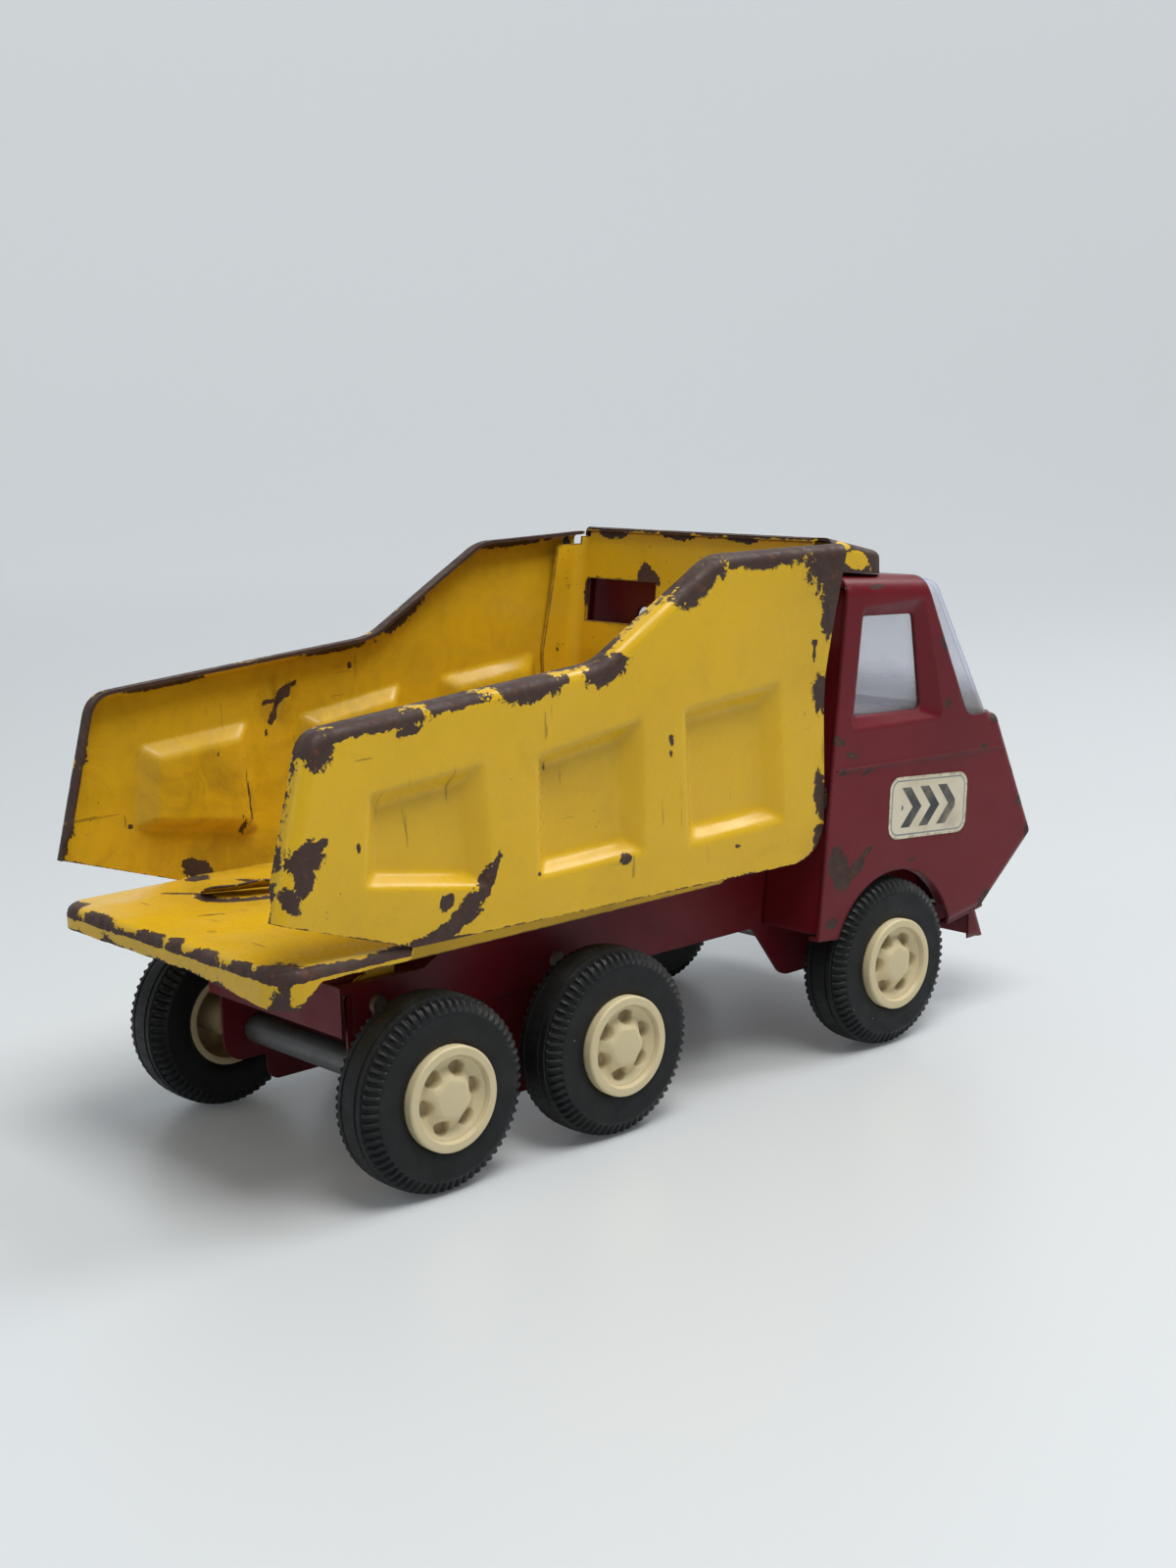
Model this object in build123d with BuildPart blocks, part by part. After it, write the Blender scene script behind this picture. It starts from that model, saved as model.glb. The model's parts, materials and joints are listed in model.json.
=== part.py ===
from build123d import *
import os

os.makedirs("parts", exist_ok=True)

# Toy dump truck in pressed steel. Millimetres, +X forward, +Y to the truck's left, +Z up.
# The origin is on the ground, at the middle of the truck's length and width.
# Lengths along the truck are given ahead of the rear axle, heights above the ground.

# ---- driving dimensions ------------------------------------------------------------
WHEEL_RADIUS = 21.0
MID_AXLE = 48.4
FRONT_AXLE = 139.6
TAIL = 37.7                # rear axle back to the spill lip
NOSE = 197.5               # rear axle forward to the nose tip
REAR_AXLE_X = (TAIL - NOSE) / 2
AXLES = {"rear": 0.0, "mid": MID_AXLE, "front": FRONT_AXLE}
SIDES = {"right": -1, "left": 1}

SHEET = 0.8                # thickness of every steel pressing
WELD_GAP = 0.1             # air between pressings of one body

TYRE_OUTER = 46.9          # centre line to the outer sidewall
TYRE_WIDTH = 13.1
TYRE_BORE = 11.25
TREAD_GROOVE = 0.6
HUB_RADIUS = 11.2
HUB_FACE = 48.7            # centre line to the outer face of a hub
HUB_INNER = 34.6           # centre line to the hub's open inner side
AXLE_RADIUS = 1.6
AXLE_HALF = 46.5
AXLE_FIT = 0.05            # radial clearance where an axle or pin turns
TUBE_RADIUS = 3.35

FRAME_HALF = 25.5          # outside of the frame rails
FRAME_BOTTOM = 31.4
FRAME_LOW_TOP = 42.2       # web behind the step, over the rear axle
FRAME_TOP = 48.4           # web ahead of the step
FRAME_REAR = -11.0
FRAME_FRONT = 174.0
FRAME_STEP = (11.0, 22.0)  # where the web steps up
RAIL_REAR = -7.7           # rails stop short of the end plate

BOGIE_HALF = FRAME_HALF - SHEET - WELD_GAP
BOGIE_REAR = -8.9
BOGIE_TOP = 41.2
LOBE_BOTTOM = 14.4         # under each axle
SKIRT_BOTTOM = 7.8         # between the axles
RIVET_RADIUS = 1.3
RIVET_HEAD = 2.2

BED_HALF = 44.0            # outside of the side panels
BED_RIM = 5.0              # width of the rim turned in along the panels
BED_BEND = 2.6             # outside radius of that rim's bend
FLOOR_REAR = 54.0          # top of the floor at the spill lip
FLOOR_FRONT = 51.9         # top of the floor at the bulkhead
SLIT = -5.2                # where the side panels leave the floor
LIP_DROP = 46.4            # lower edge of the lip's flange
POCKET_DEPTH = 3.0
SUBFRAME_HALF = 38.0
SUBFRAME_BOTTOM = 48.7
PIN_X = -1.5               # hinge pin
PIN_Z = 36.8
PIN_RADIUS = 1.3
EAR_Y = 22.0               # middle of each hinge ear
EAR_RADIUS = 6.1

CAB_HALF = 45.3
ARCH_RADIUS = 22.2
ARCH_CENTRE = (141.2, 21.6)
RECESS_DEPTH = 2.0
GLASS = 0.8


# ---- planes and shared steps -------------------------------------------------------
def side(y=0.0):
    """Side view at y, facing the truck's right: x from the rear axle, y up."""
    return Plane(origin=(REAR_AXLE_X, y, 0), x_dir=(1, 0, 0), z_dir=(0, -1, 0))


def across(x=0.0):
    """View from the front at x: x to the truck's left, y up."""
    return Plane(origin=(REAR_AXLE_X + x, 0, 0), x_dir=(0, 1, 0), z_dir=(1, 0, 0))


def level(z=0.0):
    """Plan view at height z: x from the rear axle, y to the truck's left."""
    return Plane(origin=(REAR_AXLE_X, 0, z), x_dir=(1, 0, 0), z_dir=(0, 0, 1))


def outline(points, rounds=()):
    """Closed outline in the sketch in hand; rounds gives (x, y, radius) of its corners."""
    Polygon(*points, align=None)
    for x, y, radius in rounds:
        fillet(vertices().sort_by_distance((x, y, 0))[0], radius)


def save(part, name):
    """Label a finished piece and write it to its own file."""
    part.label = name
    export_step(part, f"parts/{name}.step")


def on_line(start, end, x):
    """Height at x of the straight line from start to end."""
    return start[1] + (end[1] - start[1]) * (x - start[0]) / (end[0] - start[0])


# ---- wheels ------------------------------------------------------------------------
def tyre(x, sign):
    """Rubber tyre with sloped shoulders and two grooves round the tread."""
    inner = TYRE_OUTER - TYRE_WIDTH
    middle = TYRE_OUTER - TYRE_WIDTH / 2
    shoulder = 1.6
    with BuildPart() as ring:
        with BuildSketch(across(x)):
            with BuildLine():
                Polyline(
                    (inner + 0.5, TYRE_BORE),
                    (inner, TYRE_BORE + 2.6),
                    (inner, WHEEL_RADIUS - shoulder - 0.6),
                    (inner + shoulder, WHEEL_RADIUS - 0.45),
                    (middle - 3.0, WHEEL_RADIUS),
                    (middle + 3.0, WHEEL_RADIUS),
                    (TYRE_OUTER - shoulder, WHEEL_RADIUS - 0.45),
                    (TYRE_OUTER, WHEEL_RADIUS - shoulder - 0.6),
                    (TYRE_OUTER, TYRE_BORE + 2.6),
                    (TYRE_OUTER - 0.5, TYRE_BORE),
                    close=True,
                )
            make_face()
            with Locations((middle - 1.9, WHEEL_RADIUS), (middle + 1.9, WHEEL_RADIUS)):
                Rectangle(0.8, 2 * TREAD_GROOVE, mode=Mode.SUBTRACT)
        revolve(axis=Axis((REAR_AXLE_X + x, 0, 0), (0, 1, 0)))
    wheel = ring.part if sign > 0 else ring.part.mirror(Plane.XZ)
    return Pos(0, 0, WHEEL_RADIUS) * wheel


def hub(x, sign):
    """Moulded hub: rim, dish with six pockets, six-sided centre dome, blind axle bore."""
    dish = HUB_FACE - 2.2
    with BuildPart() as disc:
        with BuildSketch(across(x)):
            with BuildLine():
                Polyline(
                    (HUB_INNER, HUB_RADIUS),
                    (HUB_FACE - 0.4, HUB_RADIUS),
                    (HUB_FACE, HUB_RADIUS - 0.5),
                    (HUB_FACE, HUB_RADIUS - 1.9),
                    (HUB_FACE - 1.3, HUB_RADIUS - 2.4),
                    (HUB_FACE - 1.3, HUB_RADIUS - 3.2),
                    (dish, HUB_RADIUS - 4.2),
                    (dish, 0),
                    (HUB_INNER - 0.6, 0),
                    (HUB_INNER - 0.6, 4.2),
                    (dish - 2.4, 4.6),
                    (dish - 2.4, HUB_RADIUS - 2.0),
                    (HUB_INNER, HUB_RADIUS - 1.6),
                    close=True,
                )
            make_face()
        revolve(axis=Axis((REAR_AXLE_X + x, 0, 0), (0, 1, 0)))
        face = Plane(origin=(REAR_AXLE_X + x, dish, 0), x_dir=(-1, 0, 0), z_dir=(0, 1, 0))
        with BuildSketch(face):
            RegularPolygon(radius=5.0, side_count=6)
            fillet(vertices(), 1.4)
        extrude(amount=1.9, taper=24)
        with BuildSketch(face):
            with PolarLocations(6.9, 6, start_angle=30):
                SlotCenterToCenter(1.6, 2.4, rotation=90)
        extrude(amount=-1.4, mode=Mode.SUBTRACT)
        with BuildSketch(face.offset(HUB_INNER - 0.6 - dish)):
            Circle(AXLE_RADIUS)
        extrude(amount=AXLE_HALF - HUB_INNER + 0.6, mode=Mode.SUBTRACT)
    wheel = disc.part if sign > 0 else disc.part.mirror(Plane.XZ)
    return Pos(0, 0, WHEEL_RADIUS) * wheel


def axle(x):
    """Plain steel rod with chamfered ends."""
    with BuildPart() as rod:
        with BuildSketch(side()):
            with Locations((x, WHEEL_RADIUS)):
                Circle(AXLE_RADIUS)
        extrude(amount=AXLE_HALF, both=True)
        chamfer(rod.edges().filter_by(GeomType.CIRCLE), 0.3)
    return rod.part


def spacer_tube(x):
    """Steel tube that holds the bogie plates apart on an axle."""
    with BuildPart() as tube:
        with BuildSketch(side()):
            with Locations((x, WHEEL_RADIUS)):
                Circle(TUBE_RADIUS)
                Circle(AXLE_RADIUS + AXLE_FIT, mode=Mode.SUBTRACT)
        extrude(amount=BOGIE_HALF - SHEET, both=True)
    return tube.part


for place, ahead in AXLES.items():
    save(axle(ahead), f"{place}_axle")
    for hand, sign in SIDES.items():
        save(tyre(ahead, sign), f"{place}_{hand}_tyre")
        save(hub(ahead, sign), f"{place}_{hand}_hub")
for place in ("rear", "mid"):
    save(spacer_tube(AXLES[place]), f"{place}_spacer_tube")


# ---- chassis -----------------------------------------------------------------------
BOGIE_RIVETS = [(9.0, 35.6), (MID_AXLE, 36.4)]
CAB_RIVET = (123.4, 15.0)  # ahead of the rear axle, and each side of the centre line


def frame_profile(inset):
    """Side view of the frame, with its top and ends drawn in by the sheet's thickness."""
    open_below = -5.0 if inset else 0.0
    return [
        (FRAME_REAR + inset, FRAME_BOTTOM + open_below),
        (FRAME_REAR + inset, FRAME_LOW_TOP - inset),
        (FRAME_STEP[0] + inset / 2, FRAME_LOW_TOP - inset),
        (FRAME_STEP[1] + inset / 2, FRAME_TOP - inset),
        (FRAME_FRONT + (5.0 if inset else 0.0), FRAME_TOP - inset),
        (FRAME_FRONT + (5.0 if inset else 0.0), FRAME_BOTTOM - 4.2 + 4 * open_below),
        (159.5, FRAME_BOTTOM - 4.2 + 4 * open_below),
        (156.0, 17.4 + open_below),
        (121.6, 17.4 + open_below),
        (111.6, FRAME_BOTTOM + open_below),
    ]


with BuildPart() as chassis_frame:
    with BuildSketch(side()):
        outline(frame_profile(0), [(156.0, 17.4, 8), (121.6, 17.4, 5), (111.6, FRAME_BOTTOM, 3)])
    extrude(amount=FRAME_HALF, both=True)
    long_edges = chassis_frame.edges().filter_by(Axis.X)
    fillet(long_edges.group_by(Axis.Z)[-1], 1.5)
    with BuildSketch(side()):
        outline(frame_profile(SHEET))
    extrude(amount=FRAME_HALF - SHEET, both=True, mode=Mode.SUBTRACT)
    # open corners beside the end plate, and the slots that the bed's ears swing in
    with BuildSketch(across(FRAME_REAR + SHEET)):
        with Locations((-FRAME_HALF, FRAME_BOTTOM), (FRAME_HALF, FRAME_BOTTOM)):
            Rectangle(2.2, 2 * (FRAME_LOW_TOP - SHEET - FRAME_BOTTOM - 1.0))
    extrude(amount=RAIL_REAR - FRAME_REAR - SHEET, mode=Mode.SUBTRACT)
    with BuildSketch(level(FRAME_LOW_TOP)):
        for sign in SIDES.values():
            with Locations(((FRAME_REAR + SHEET + 7.2) / 2, sign * EAR_Y)):
                Rectangle(7.2 - FRAME_REAR - SHEET, 2.4)
    extrude(amount=-2 * SHEET, mode=Mode.SUBTRACT)
    # holes for the front axle and the hinge pin
    with BuildSketch(side()):
        with Locations((FRONT_AXLE, WHEEL_RADIUS)):
            Circle(AXLE_RADIUS + AXLE_FIT)
        with Locations((PIN_X, PIN_Z)):
            Circle(PIN_RADIUS)
        with Locations(*BOGIE_RIVETS):
            Circle(RIVET_RADIUS)
    extrude(amount=FRAME_HALF, both=True, mode=Mode.SUBTRACT)
    with BuildSketch(level(FRAME_TOP)):
        with Locations((CAB_RIVET[0], -CAB_RIVET[1]), (CAB_RIVET[0], CAB_RIVET[1])):
            Circle(RIVET_RADIUS)
    extrude(amount=-2 * SHEET, mode=Mode.SUBTRACT)
    # feet turned in under the rails, for the bumper's rivets
    foot = 6.0
    with BuildSketch(level(FRAME_BOTTOM - 4.2)):
        for sign in SIDES.values():
            with Locations((167.5, sign * (FRAME_HALF - foot / 2))):
                Rectangle(13.0, foot)
    extrude(amount=SHEET)
    with BuildSketch(level(FRAME_BOTTOM - 4.2)):
        with Locations((167.5, -FRAME_HALF + 3.4), (167.5, FRAME_HALF - 3.4)):
            Circle(RIVET_RADIUS)
    extrude(amount=SHEET, mode=Mode.SUBTRACT)
save(chassis_frame.part, "chassis_frame")

with BuildPart() as bogie_bracket:
    lobe = MID_AXLE - BOGIE_REAR
    with BuildSketch(side()):
        outline(
            [
                (BOGIE_REAR, BOGIE_TOP),
                (BOGIE_REAR, LOBE_BOTTOM),
                (2.4, LOBE_BOTTOM),
                (2.4, SKIRT_BOTTOM),
                (MID_AXLE - 2.4, SKIRT_BOTTOM),
                (MID_AXLE - 2.4, LOBE_BOTTOM),
                (lobe, LOBE_BOTTOM),
                (lobe, BOGIE_TOP),
            ],
            [
                (BOGIE_REAR, LOBE_BOTTOM, 5.2),
                (2.4, LOBE_BOTTOM, 1.0),
                (2.4, SKIRT_BOTTOM, 3.0),
                (MID_AXLE - 2.4, SKIRT_BOTTOM, 3.0),
                (MID_AXLE - 2.4, LOBE_BOTTOM, 1.0),
                (lobe, LOBE_BOTTOM, 5.2),
                (BOGIE_REAR, BOGIE_TOP, 3.0),
                (lobe, BOGIE_TOP, 3.0),
            ],
        )
    extrude(amount=BOGIE_HALF, both=True)
    with BuildSketch(side()):
        with Locations((MID_AXLE / 2, 0)):
            Rectangle(MID_AXLE + 40, 2 * (BOGIE_TOP - SHEET))
    extrude(amount=BOGIE_HALF - SHEET, both=True, mode=Mode.SUBTRACT)
    # the web is cut back behind the step, clear of the bed's ears
    with BuildSketch(level(BOGIE_TOP)):
        with Locations((BOGIE_REAR + 10, 0)):
            Rectangle(2 * 11.5, 2 * (BOGIE_HALF - SHEET))
    extrude(amount=-2 * SHEET, mode=Mode.SUBTRACT)
    with BuildSketch(side()):
        with Locations((0, WHEEL_RADIUS), (MID_AXLE, WHEEL_RADIUS)):
            Circle(AXLE_RADIUS + AXLE_FIT)
        with Locations((PIN_X, PIN_Z)):
            Circle(PIN_RADIUS)
        with Locations(*BOGIE_RIVETS):
            Circle(RIVET_RADIUS)
    extrude(amount=BOGIE_HALF, both=True, mode=Mode.SUBTRACT)
save(bogie_bracket.part, "bogie_bracket")


def rivets(places, grip, flush_plane):
    """Round-headed rivets through a joint of thickness grip, standing on given planes."""
    with BuildPart() as group:
        for place in places:
            with BuildSketch(place):
                Circle(RIVET_HEAD)
            extrude(amount=0.9, taper=25)
            with BuildSketch(place):
                Circle(RIVET_RADIUS)
            extrude(amount=-grip)
            with BuildSketch(place.offset(-grip)):
                Circle(RIVET_HEAD - 0.4)
            extrude(amount=-flush_plane)
    return group.part


bogie_rivet_planes = []
for along, height in BOGIE_RIVETS:
    for sign in SIDES.values():
        bogie_rivet_planes.append(
            Plane(
                origin=(REAR_AXLE_X + along, sign * FRAME_HALF, height),
                x_dir=(1, 0, 0),
                z_dir=(0, sign, 0),
            )
        )
save(rivets(bogie_rivet_planes, 2 * SHEET + WELD_GAP, 0.5), "bogie_rivets")


# ---- dump bed ----------------------------------------------------------------------
FLOOR_LINE = [(SLIT, FLOOR_REAR), (105.0, FLOOR_FRONT)]


def floor_top(x):
    """Height of the floor's upper face; it is level behind the slit."""
    return on_line(*FLOOR_LINE, max(x, SLIT))


PANEL_FRONT = [(117.5, 66.0), (117.5, 95.0), (121.6, 125.2)]
PANEL = [
    (-37.4, 63.8),
    (-27.6, 99.6),
    (48.4, 104.9),
    (83.8, 125.2),
    PANEL_FRONT[2],
    PANEL_FRONT[1],
    (117.5, FLOOR_FRONT - SHEET),
    (105.0, FLOOR_FRONT - SHEET),
    (SLIT, FLOOR_REAR - SHEET),
]
PANEL_ROUNDS = [
    (-37.4, 63.8, 2.0),
    (-27.6, 99.6, 7.0),
    (48.4, 104.9, 16.0),
    (83.8, 125.2, 14.0),
    (117.5, FLOOR_FRONT - SHEET, 12.0),
]

# each pocket: mouth and bottom, from the lower rear corner round by the top
POCKETS = [
    (
        [(-16.6, 67.6), (-14.4, 85.6), (14.2, 87.8), (15.4, 62.0)],
        [(-12.6, 70.6), (-9.8, 82.6), (9.8, 84.2), (10.4, 64.6)],
    ),
    (
        [(28.4, 61.8), (29.2, 87.4), (58.8, 91.4), (58.6, 62.4)],
        [(32.0, 64.8), (33.4, 84.6), (54.6, 87.6), (54.8, 64.8)],
    ),
    (
        [(72.4, 61.8), (71.8, 91.8), (102.4, 94.2), (103.4, 62.6)],
        [(76.2, 64.6), (76.2, 88.8), (98.2, 90.6), (99.2, 65.2)],
    ),
]


def pressed_pocket(mouth, bottom, face_y, depth, corner=2.2):
    """Two solids for a pocket pressed in from the plane y = -face_y: the wall, then the hollow."""
    swell = 0.6
    with BuildPart() as wall:
        for points, y, grow in ((mouth, face_y - SHEET, swell), (bottom, face_y - depth - SHEET, swell)):
            with BuildSketch(side(-y)):
                Polygon(*points, align=None)
                fillet(vertices(), corner)
                offset(amount=grow)
        loft()
    with BuildPart() as hollow:
        for points, y in ((mouth, face_y), (bottom, face_y - depth)):
            with BuildSketch(side(-y)):
                Polygon(*points, align=None)
                fillet(vertices(), corner)
        loft()
    return wall.part, hollow.part


OPEN_EDGE = [
    (-50.0, 64.7),
    (-37.1, 64.7),
    (SLIT + 0.3, FLOOR_REAR + 0.1),
    (105.5, 52.5),
    (113.0, 55.6),
    (116.2, 63.1),
    (116.5, 95.0),
    (120.6, 124.3),
    (130.0, 124.3),
    (130.0, 30.0),
    (-50.0, 30.0),
]


def rim_edges(solid, y):
    """Edges on the plane y that run along the rear and the top of a side panel."""
    found = []
    for edge in solid.edges():
        middle = edge.position_at(0.5)
        x = middle.X - REAR_AXLE_X
        flat = abs(edge.position_at(0).Y - y) < 0.01 and abs(edge.position_at(1).Y - y) < 0.01
        below = middle.Z < FLOOR_REAR + 11 or (x > 112 and middle.Z < 124)
        if flat and not below:
            found.append(edge)
    return found


def panel_block(inset):
    """Side panel's outline as a solid, drawn in by inset, with the rim's bend rounded."""
    y = -BED_HALF + inset
    with BuildPart() as solid:
        with BuildSketch(side(-BED_HALF + BED_RIM + inset)):
            outline(PANEL, PANEL_ROUNDS)
            if inset:
                offset(amount=-inset)
        extrude(amount=BED_RIM)
        fillet(rim_edges(solid.part, y), BED_BEND - inset)
    return solid.part


with BuildPart() as right_panel:
    add(panel_block(0))
    add(panel_block(SHEET), mode=Mode.SUBTRACT)
    with BuildSketch(side(-BED_HALF + SHEET)):
        outline(OPEN_EDGE)
    extrude(amount=-BED_RIM, mode=Mode.SUBTRACT)
    for mouth, bottom in POCKETS:
        wall, hollow = pressed_pocket(mouth, bottom, BED_HALF, POCKET_DEPTH)
        add(wall)
        add(hollow, mode=Mode.SUBTRACT)

LIP_FRONT = SLIT - 0.6


def lip_block(inset):
    """Spill lip as a solid, drawn in by inset at the rear, the sides and the top."""
    length = TAIL + LIP_FRONT - inset
    with BuildPart() as solid:
        with BuildSketch(level(LIP_DROP - inset)):
            with Locations(((LIP_FRONT - TAIL + inset) / 2, 0)):
                Rectangle(length, 2 * (BED_HALF - inset))
        extrude(amount=FLOOR_REAR - LIP_DROP)
        rear = solid.edges().filter_by(Axis.Z).group_by(Axis.X)[0]
        fillet(rear, 7.0 - inset)
        rim = solid.faces().sort_by(Axis.Z)[-1].edges().group_by(Axis.X)[:-1]
        fillet([edge for group in rim for edge in group], 2.2 - inset)
    return solid.part


with BuildPart() as spill_lip:
    add(lip_block(0))
    add(lip_block(SHEET), mode=Mode.SUBTRACT)
    # the flange is deep across the rear and only a bead along the sides
    with BuildSketch(side()):
        outline(
            [
                (-TAIL + 3.4, LIP_DROP - 1),
                (-TAIL + 3.4, LIP_DROP + 1.5),
                (-TAIL + 6.5, FLOOR_REAR - 2.3),
                (LIP_FRONT + 1, FLOOR_REAR - 2.3),
                (LIP_FRONT + 1, LIP_DROP - 1),
            ]
        )
    extrude(amount=BED_HALF, both=True, mode=Mode.SUBTRACT)

with BuildPart() as dump_bed:
    add(right_panel.part)
    # floor: a level strip joins the lip, then it slopes down to the bulkhead
    with BuildSketch(side()):
        outline(
            [
                (LIP_FRONT - 0.5, FLOOR_REAR - SHEET),
                (SLIT, FLOOR_REAR - SHEET),
                (105.0, FLOOR_FRONT - SHEET),
                (105.0, FLOOR_FRONT),
                (SLIT, FLOOR_REAR),
                (LIP_FRONT - 0.5, FLOOR_REAR),
            ]
        )
    extrude(amount=BED_HALF - SHEET / 2, both=True)
    mirror(about=Plane.XZ)
    add(spill_lip.part)
save(dump_bed.part, "dump_bed")

# bulkhead: a sheet from the floor up to the canopy, with a flange down each side panel
BULKHEAD_HALF = BED_HALF - SHEET - WELD_GAP
BULKHEAD_FACE = 116.4      # forward face, upright part
BULKHEAD_BEND = 95.0       # above this it leans forward
BULKHEAD_TOP = (120.6, 126.4)
BULKHEAD_REAR = 96.0       # rear edge of its foot on the floor
FOOT = 52.2
CANOPY_FRONT = (141.8, 121.6)
CANOPY_DROP = 116.4
WINDOW = (12.8, 38.6, 102.4, 113.4)
# heights that stay free under the side panels' rims, and inside their bends
RIM_ROOM = [(BED_HALF - BED_RIM - 2 * WELD_GAP, 124.1), (BED_HALF - BED_BEND, 122.2)]


def bulkhead_block(inset):
    """Bulkhead's outline as a solid, drawn in by inset."""
    face = BULKHEAD_FACE - inset
    bend = BULKHEAD_BEND + inset / 8
    with BuildPart() as solid:
        with BuildSketch(side()):
            outline(
                [
                    (BULKHEAD_REAR, FOOT + inset),
                    (face, FOOT + inset),
                    (face, bend),
                    (BULKHEAD_TOP[0] - inset, BULKHEAD_TOP[1] - inset),
                    (BULKHEAD_REAR, BULKHEAD_TOP[1] - inset),
                ],
                [(face, FOOT + inset, 11.5 - inset), (face, bend, 20)],
            )
        extrude(amount=BULKHEAD_HALF - inset, both=True)
        upright = []
        for edge in solid.edges():
            start, end = edge.position_at(0), edge.position_at(1)
            ahead = edge.position_at(0.5).X - REAR_AXLE_X > BULKHEAD_REAR + 8
            if ahead and abs(start.Y - end.Y) < 0.01 and abs(start.Z - end.Z) > 1:
                upright.append(edge)
        fillet(upright, 4.0 - inset)
    return solid.part


def canopy_block(inset):
    """Canopy's outline as a solid, drawn in by inset at its top, front and sides."""
    with BuildPart() as solid:
        with BuildSketch(side()):
            outline(
                [
                    (BULKHEAD_TOP[0] - 2.0, CANOPY_DROP + 2.5 - 2 * inset),
                    (BULKHEAD_TOP[0] - 2.0, BULKHEAD_TOP[1] - inset),
                    (BULKHEAD_TOP[0] + 1.3, BULKHEAD_TOP[1] - inset),
                    (CANOPY_FRONT[0] - inset, CANOPY_FRONT[1] - inset),
                    (CANOPY_FRONT[0] - inset, CANOPY_DROP - 2 * inset),
                ]
            )
        extrude(amount=BULKHEAD_HALF - inset, both=True)
        fillet(solid.edges().filter_by(Axis.Z).group_by(Axis.X)[-1], 5.0 - inset)
        brow = [edge for edge in solid.faces().sort_by(Axis.Z)[-1].edges()]
        slope = solid.faces().filter_by(lambda face: face.normal_at().Z > 0.5).sort_by(Axis.X)[-1]
        rim = [edge for edge in slope.edges() if edge not in brow]
        fillet([edge for edge in rim if edge.position_at(0.5).X > REAR_AXLE_X + 124], 2.0 - inset)
    return solid.part


with BuildPart() as canopy:
    add(canopy_block(0))
    add(canopy_block(SHEET), mode=Mode.SUBTRACT)
    # it starts at the bulkhead's leaning face
    with BuildSketch(side()):
        outline(
            [
                (BULKHEAD_REAR, CANOPY_DROP - 1),
                (BULKHEAD_REAR, BULKHEAD_TOP[1] - SHEET),
                (BULKHEAD_TOP[0] - SHEET / 2, BULKHEAD_TOP[1] - SHEET),
                (BULKHEAD_TOP[0] - 2 * SHEET, CANOPY_DROP - 1),
            ]
        )
    extrude(amount=BED_HALF, both=True, mode=Mode.SUBTRACT)

with BuildPart() as bed_bulkhead:
    add(bulkhead_block(0))
    add(bulkhead_block(SHEET), mode=Mode.SUBTRACT)
    # what is left behind the face: a foot on the floor and a tapering flange on each side
    with BuildSketch(side()):
        outline(
            [
                (BULKHEAD_REAR - 1, FOOT + SHEET),
                (BULKHEAD_FACE - 11.5, FOOT + SHEET),
                (105.0, 66.0),
                (105.0, BULKHEAD_BEND),
                (112.8, BULKHEAD_TOP[1] + 1),
                (BULKHEAD_REAR - 1, BULKHEAD_TOP[1] + 1),
            ]
        )
    extrude(amount=BED_HALF, both=True, mode=Mode.SUBTRACT)
    with BuildSketch(level(BULKHEAD_TOP[1])):
        with Locations((BULKHEAD_TOP[0] - SHEET - 10, 0)):
            Rectangle(20 - 2 * WELD_GAP, 2 * BED_HALF)
    extrude(amount=-SHEET, mode=Mode.SUBTRACT)
    add(canopy.part)
    # room for the side panels' rims
    with BuildSketch(across(BULKHEAD_REAR)):
        for sign in SIDES.values():
            for from_middle, height in RIM_ROOM:
                with Locations((sign * (from_middle + 4), height + 4)):
                    Rectangle(8, 8)
    extrude(amount=PANEL_FRONT[2][0] + 2 * WELD_GAP - BULKHEAD_REAR, mode=Mode.SUBTRACT)
    inner, outer, sill, head = WINDOW
    with BuildSketch(across(BULKHEAD_REAR + 12)):
        for sign in SIDES.values():
            with Locations((sign * (inner + outer) / 2, (sill + head) / 2)):
                Rectangle(outer - inner, head - sill)
    extrude(amount=20, mode=Mode.SUBTRACT)
save(bed_bulkhead.part, "bed_bulkhead")

# sub-frame: shallow pan welded under the floor, with two ears for the hinge pin
SUBFRAME_REAR = -8.0
SUBFRAME_FRONT = 90.0
EAR_NECK = (PIN_X - 0.7, PIN_X + 7.0)


def subframe_block(inset):
    """Pan under the floor as a solid; its top follows the floor."""
    top_gap = 5.0 if inset else 0.0
    with BuildPart() as solid:
        with BuildSketch(side()):
            outline(
                [
                    (SUBFRAME_REAR + inset, SUBFRAME_BOTTOM + inset),
                    (SUBFRAME_FRONT - inset, SUBFRAME_BOTTOM + inset),
                    (SUBFRAME_FRONT - inset, floor_top(SUBFRAME_FRONT) - SHEET + top_gap),
                    (SLIT, FLOOR_REAR - SHEET + top_gap),
                    (SUBFRAME_REAR + inset, FLOOR_REAR - SHEET + top_gap),
                ],
                [(SUBFRAME_FRONT - inset, SUBFRAME_BOTTOM + inset, 2.0 - inset)],
            )
        extrude(amount=SUBFRAME_HALF - inset, both=True)
    return solid.part


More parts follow.
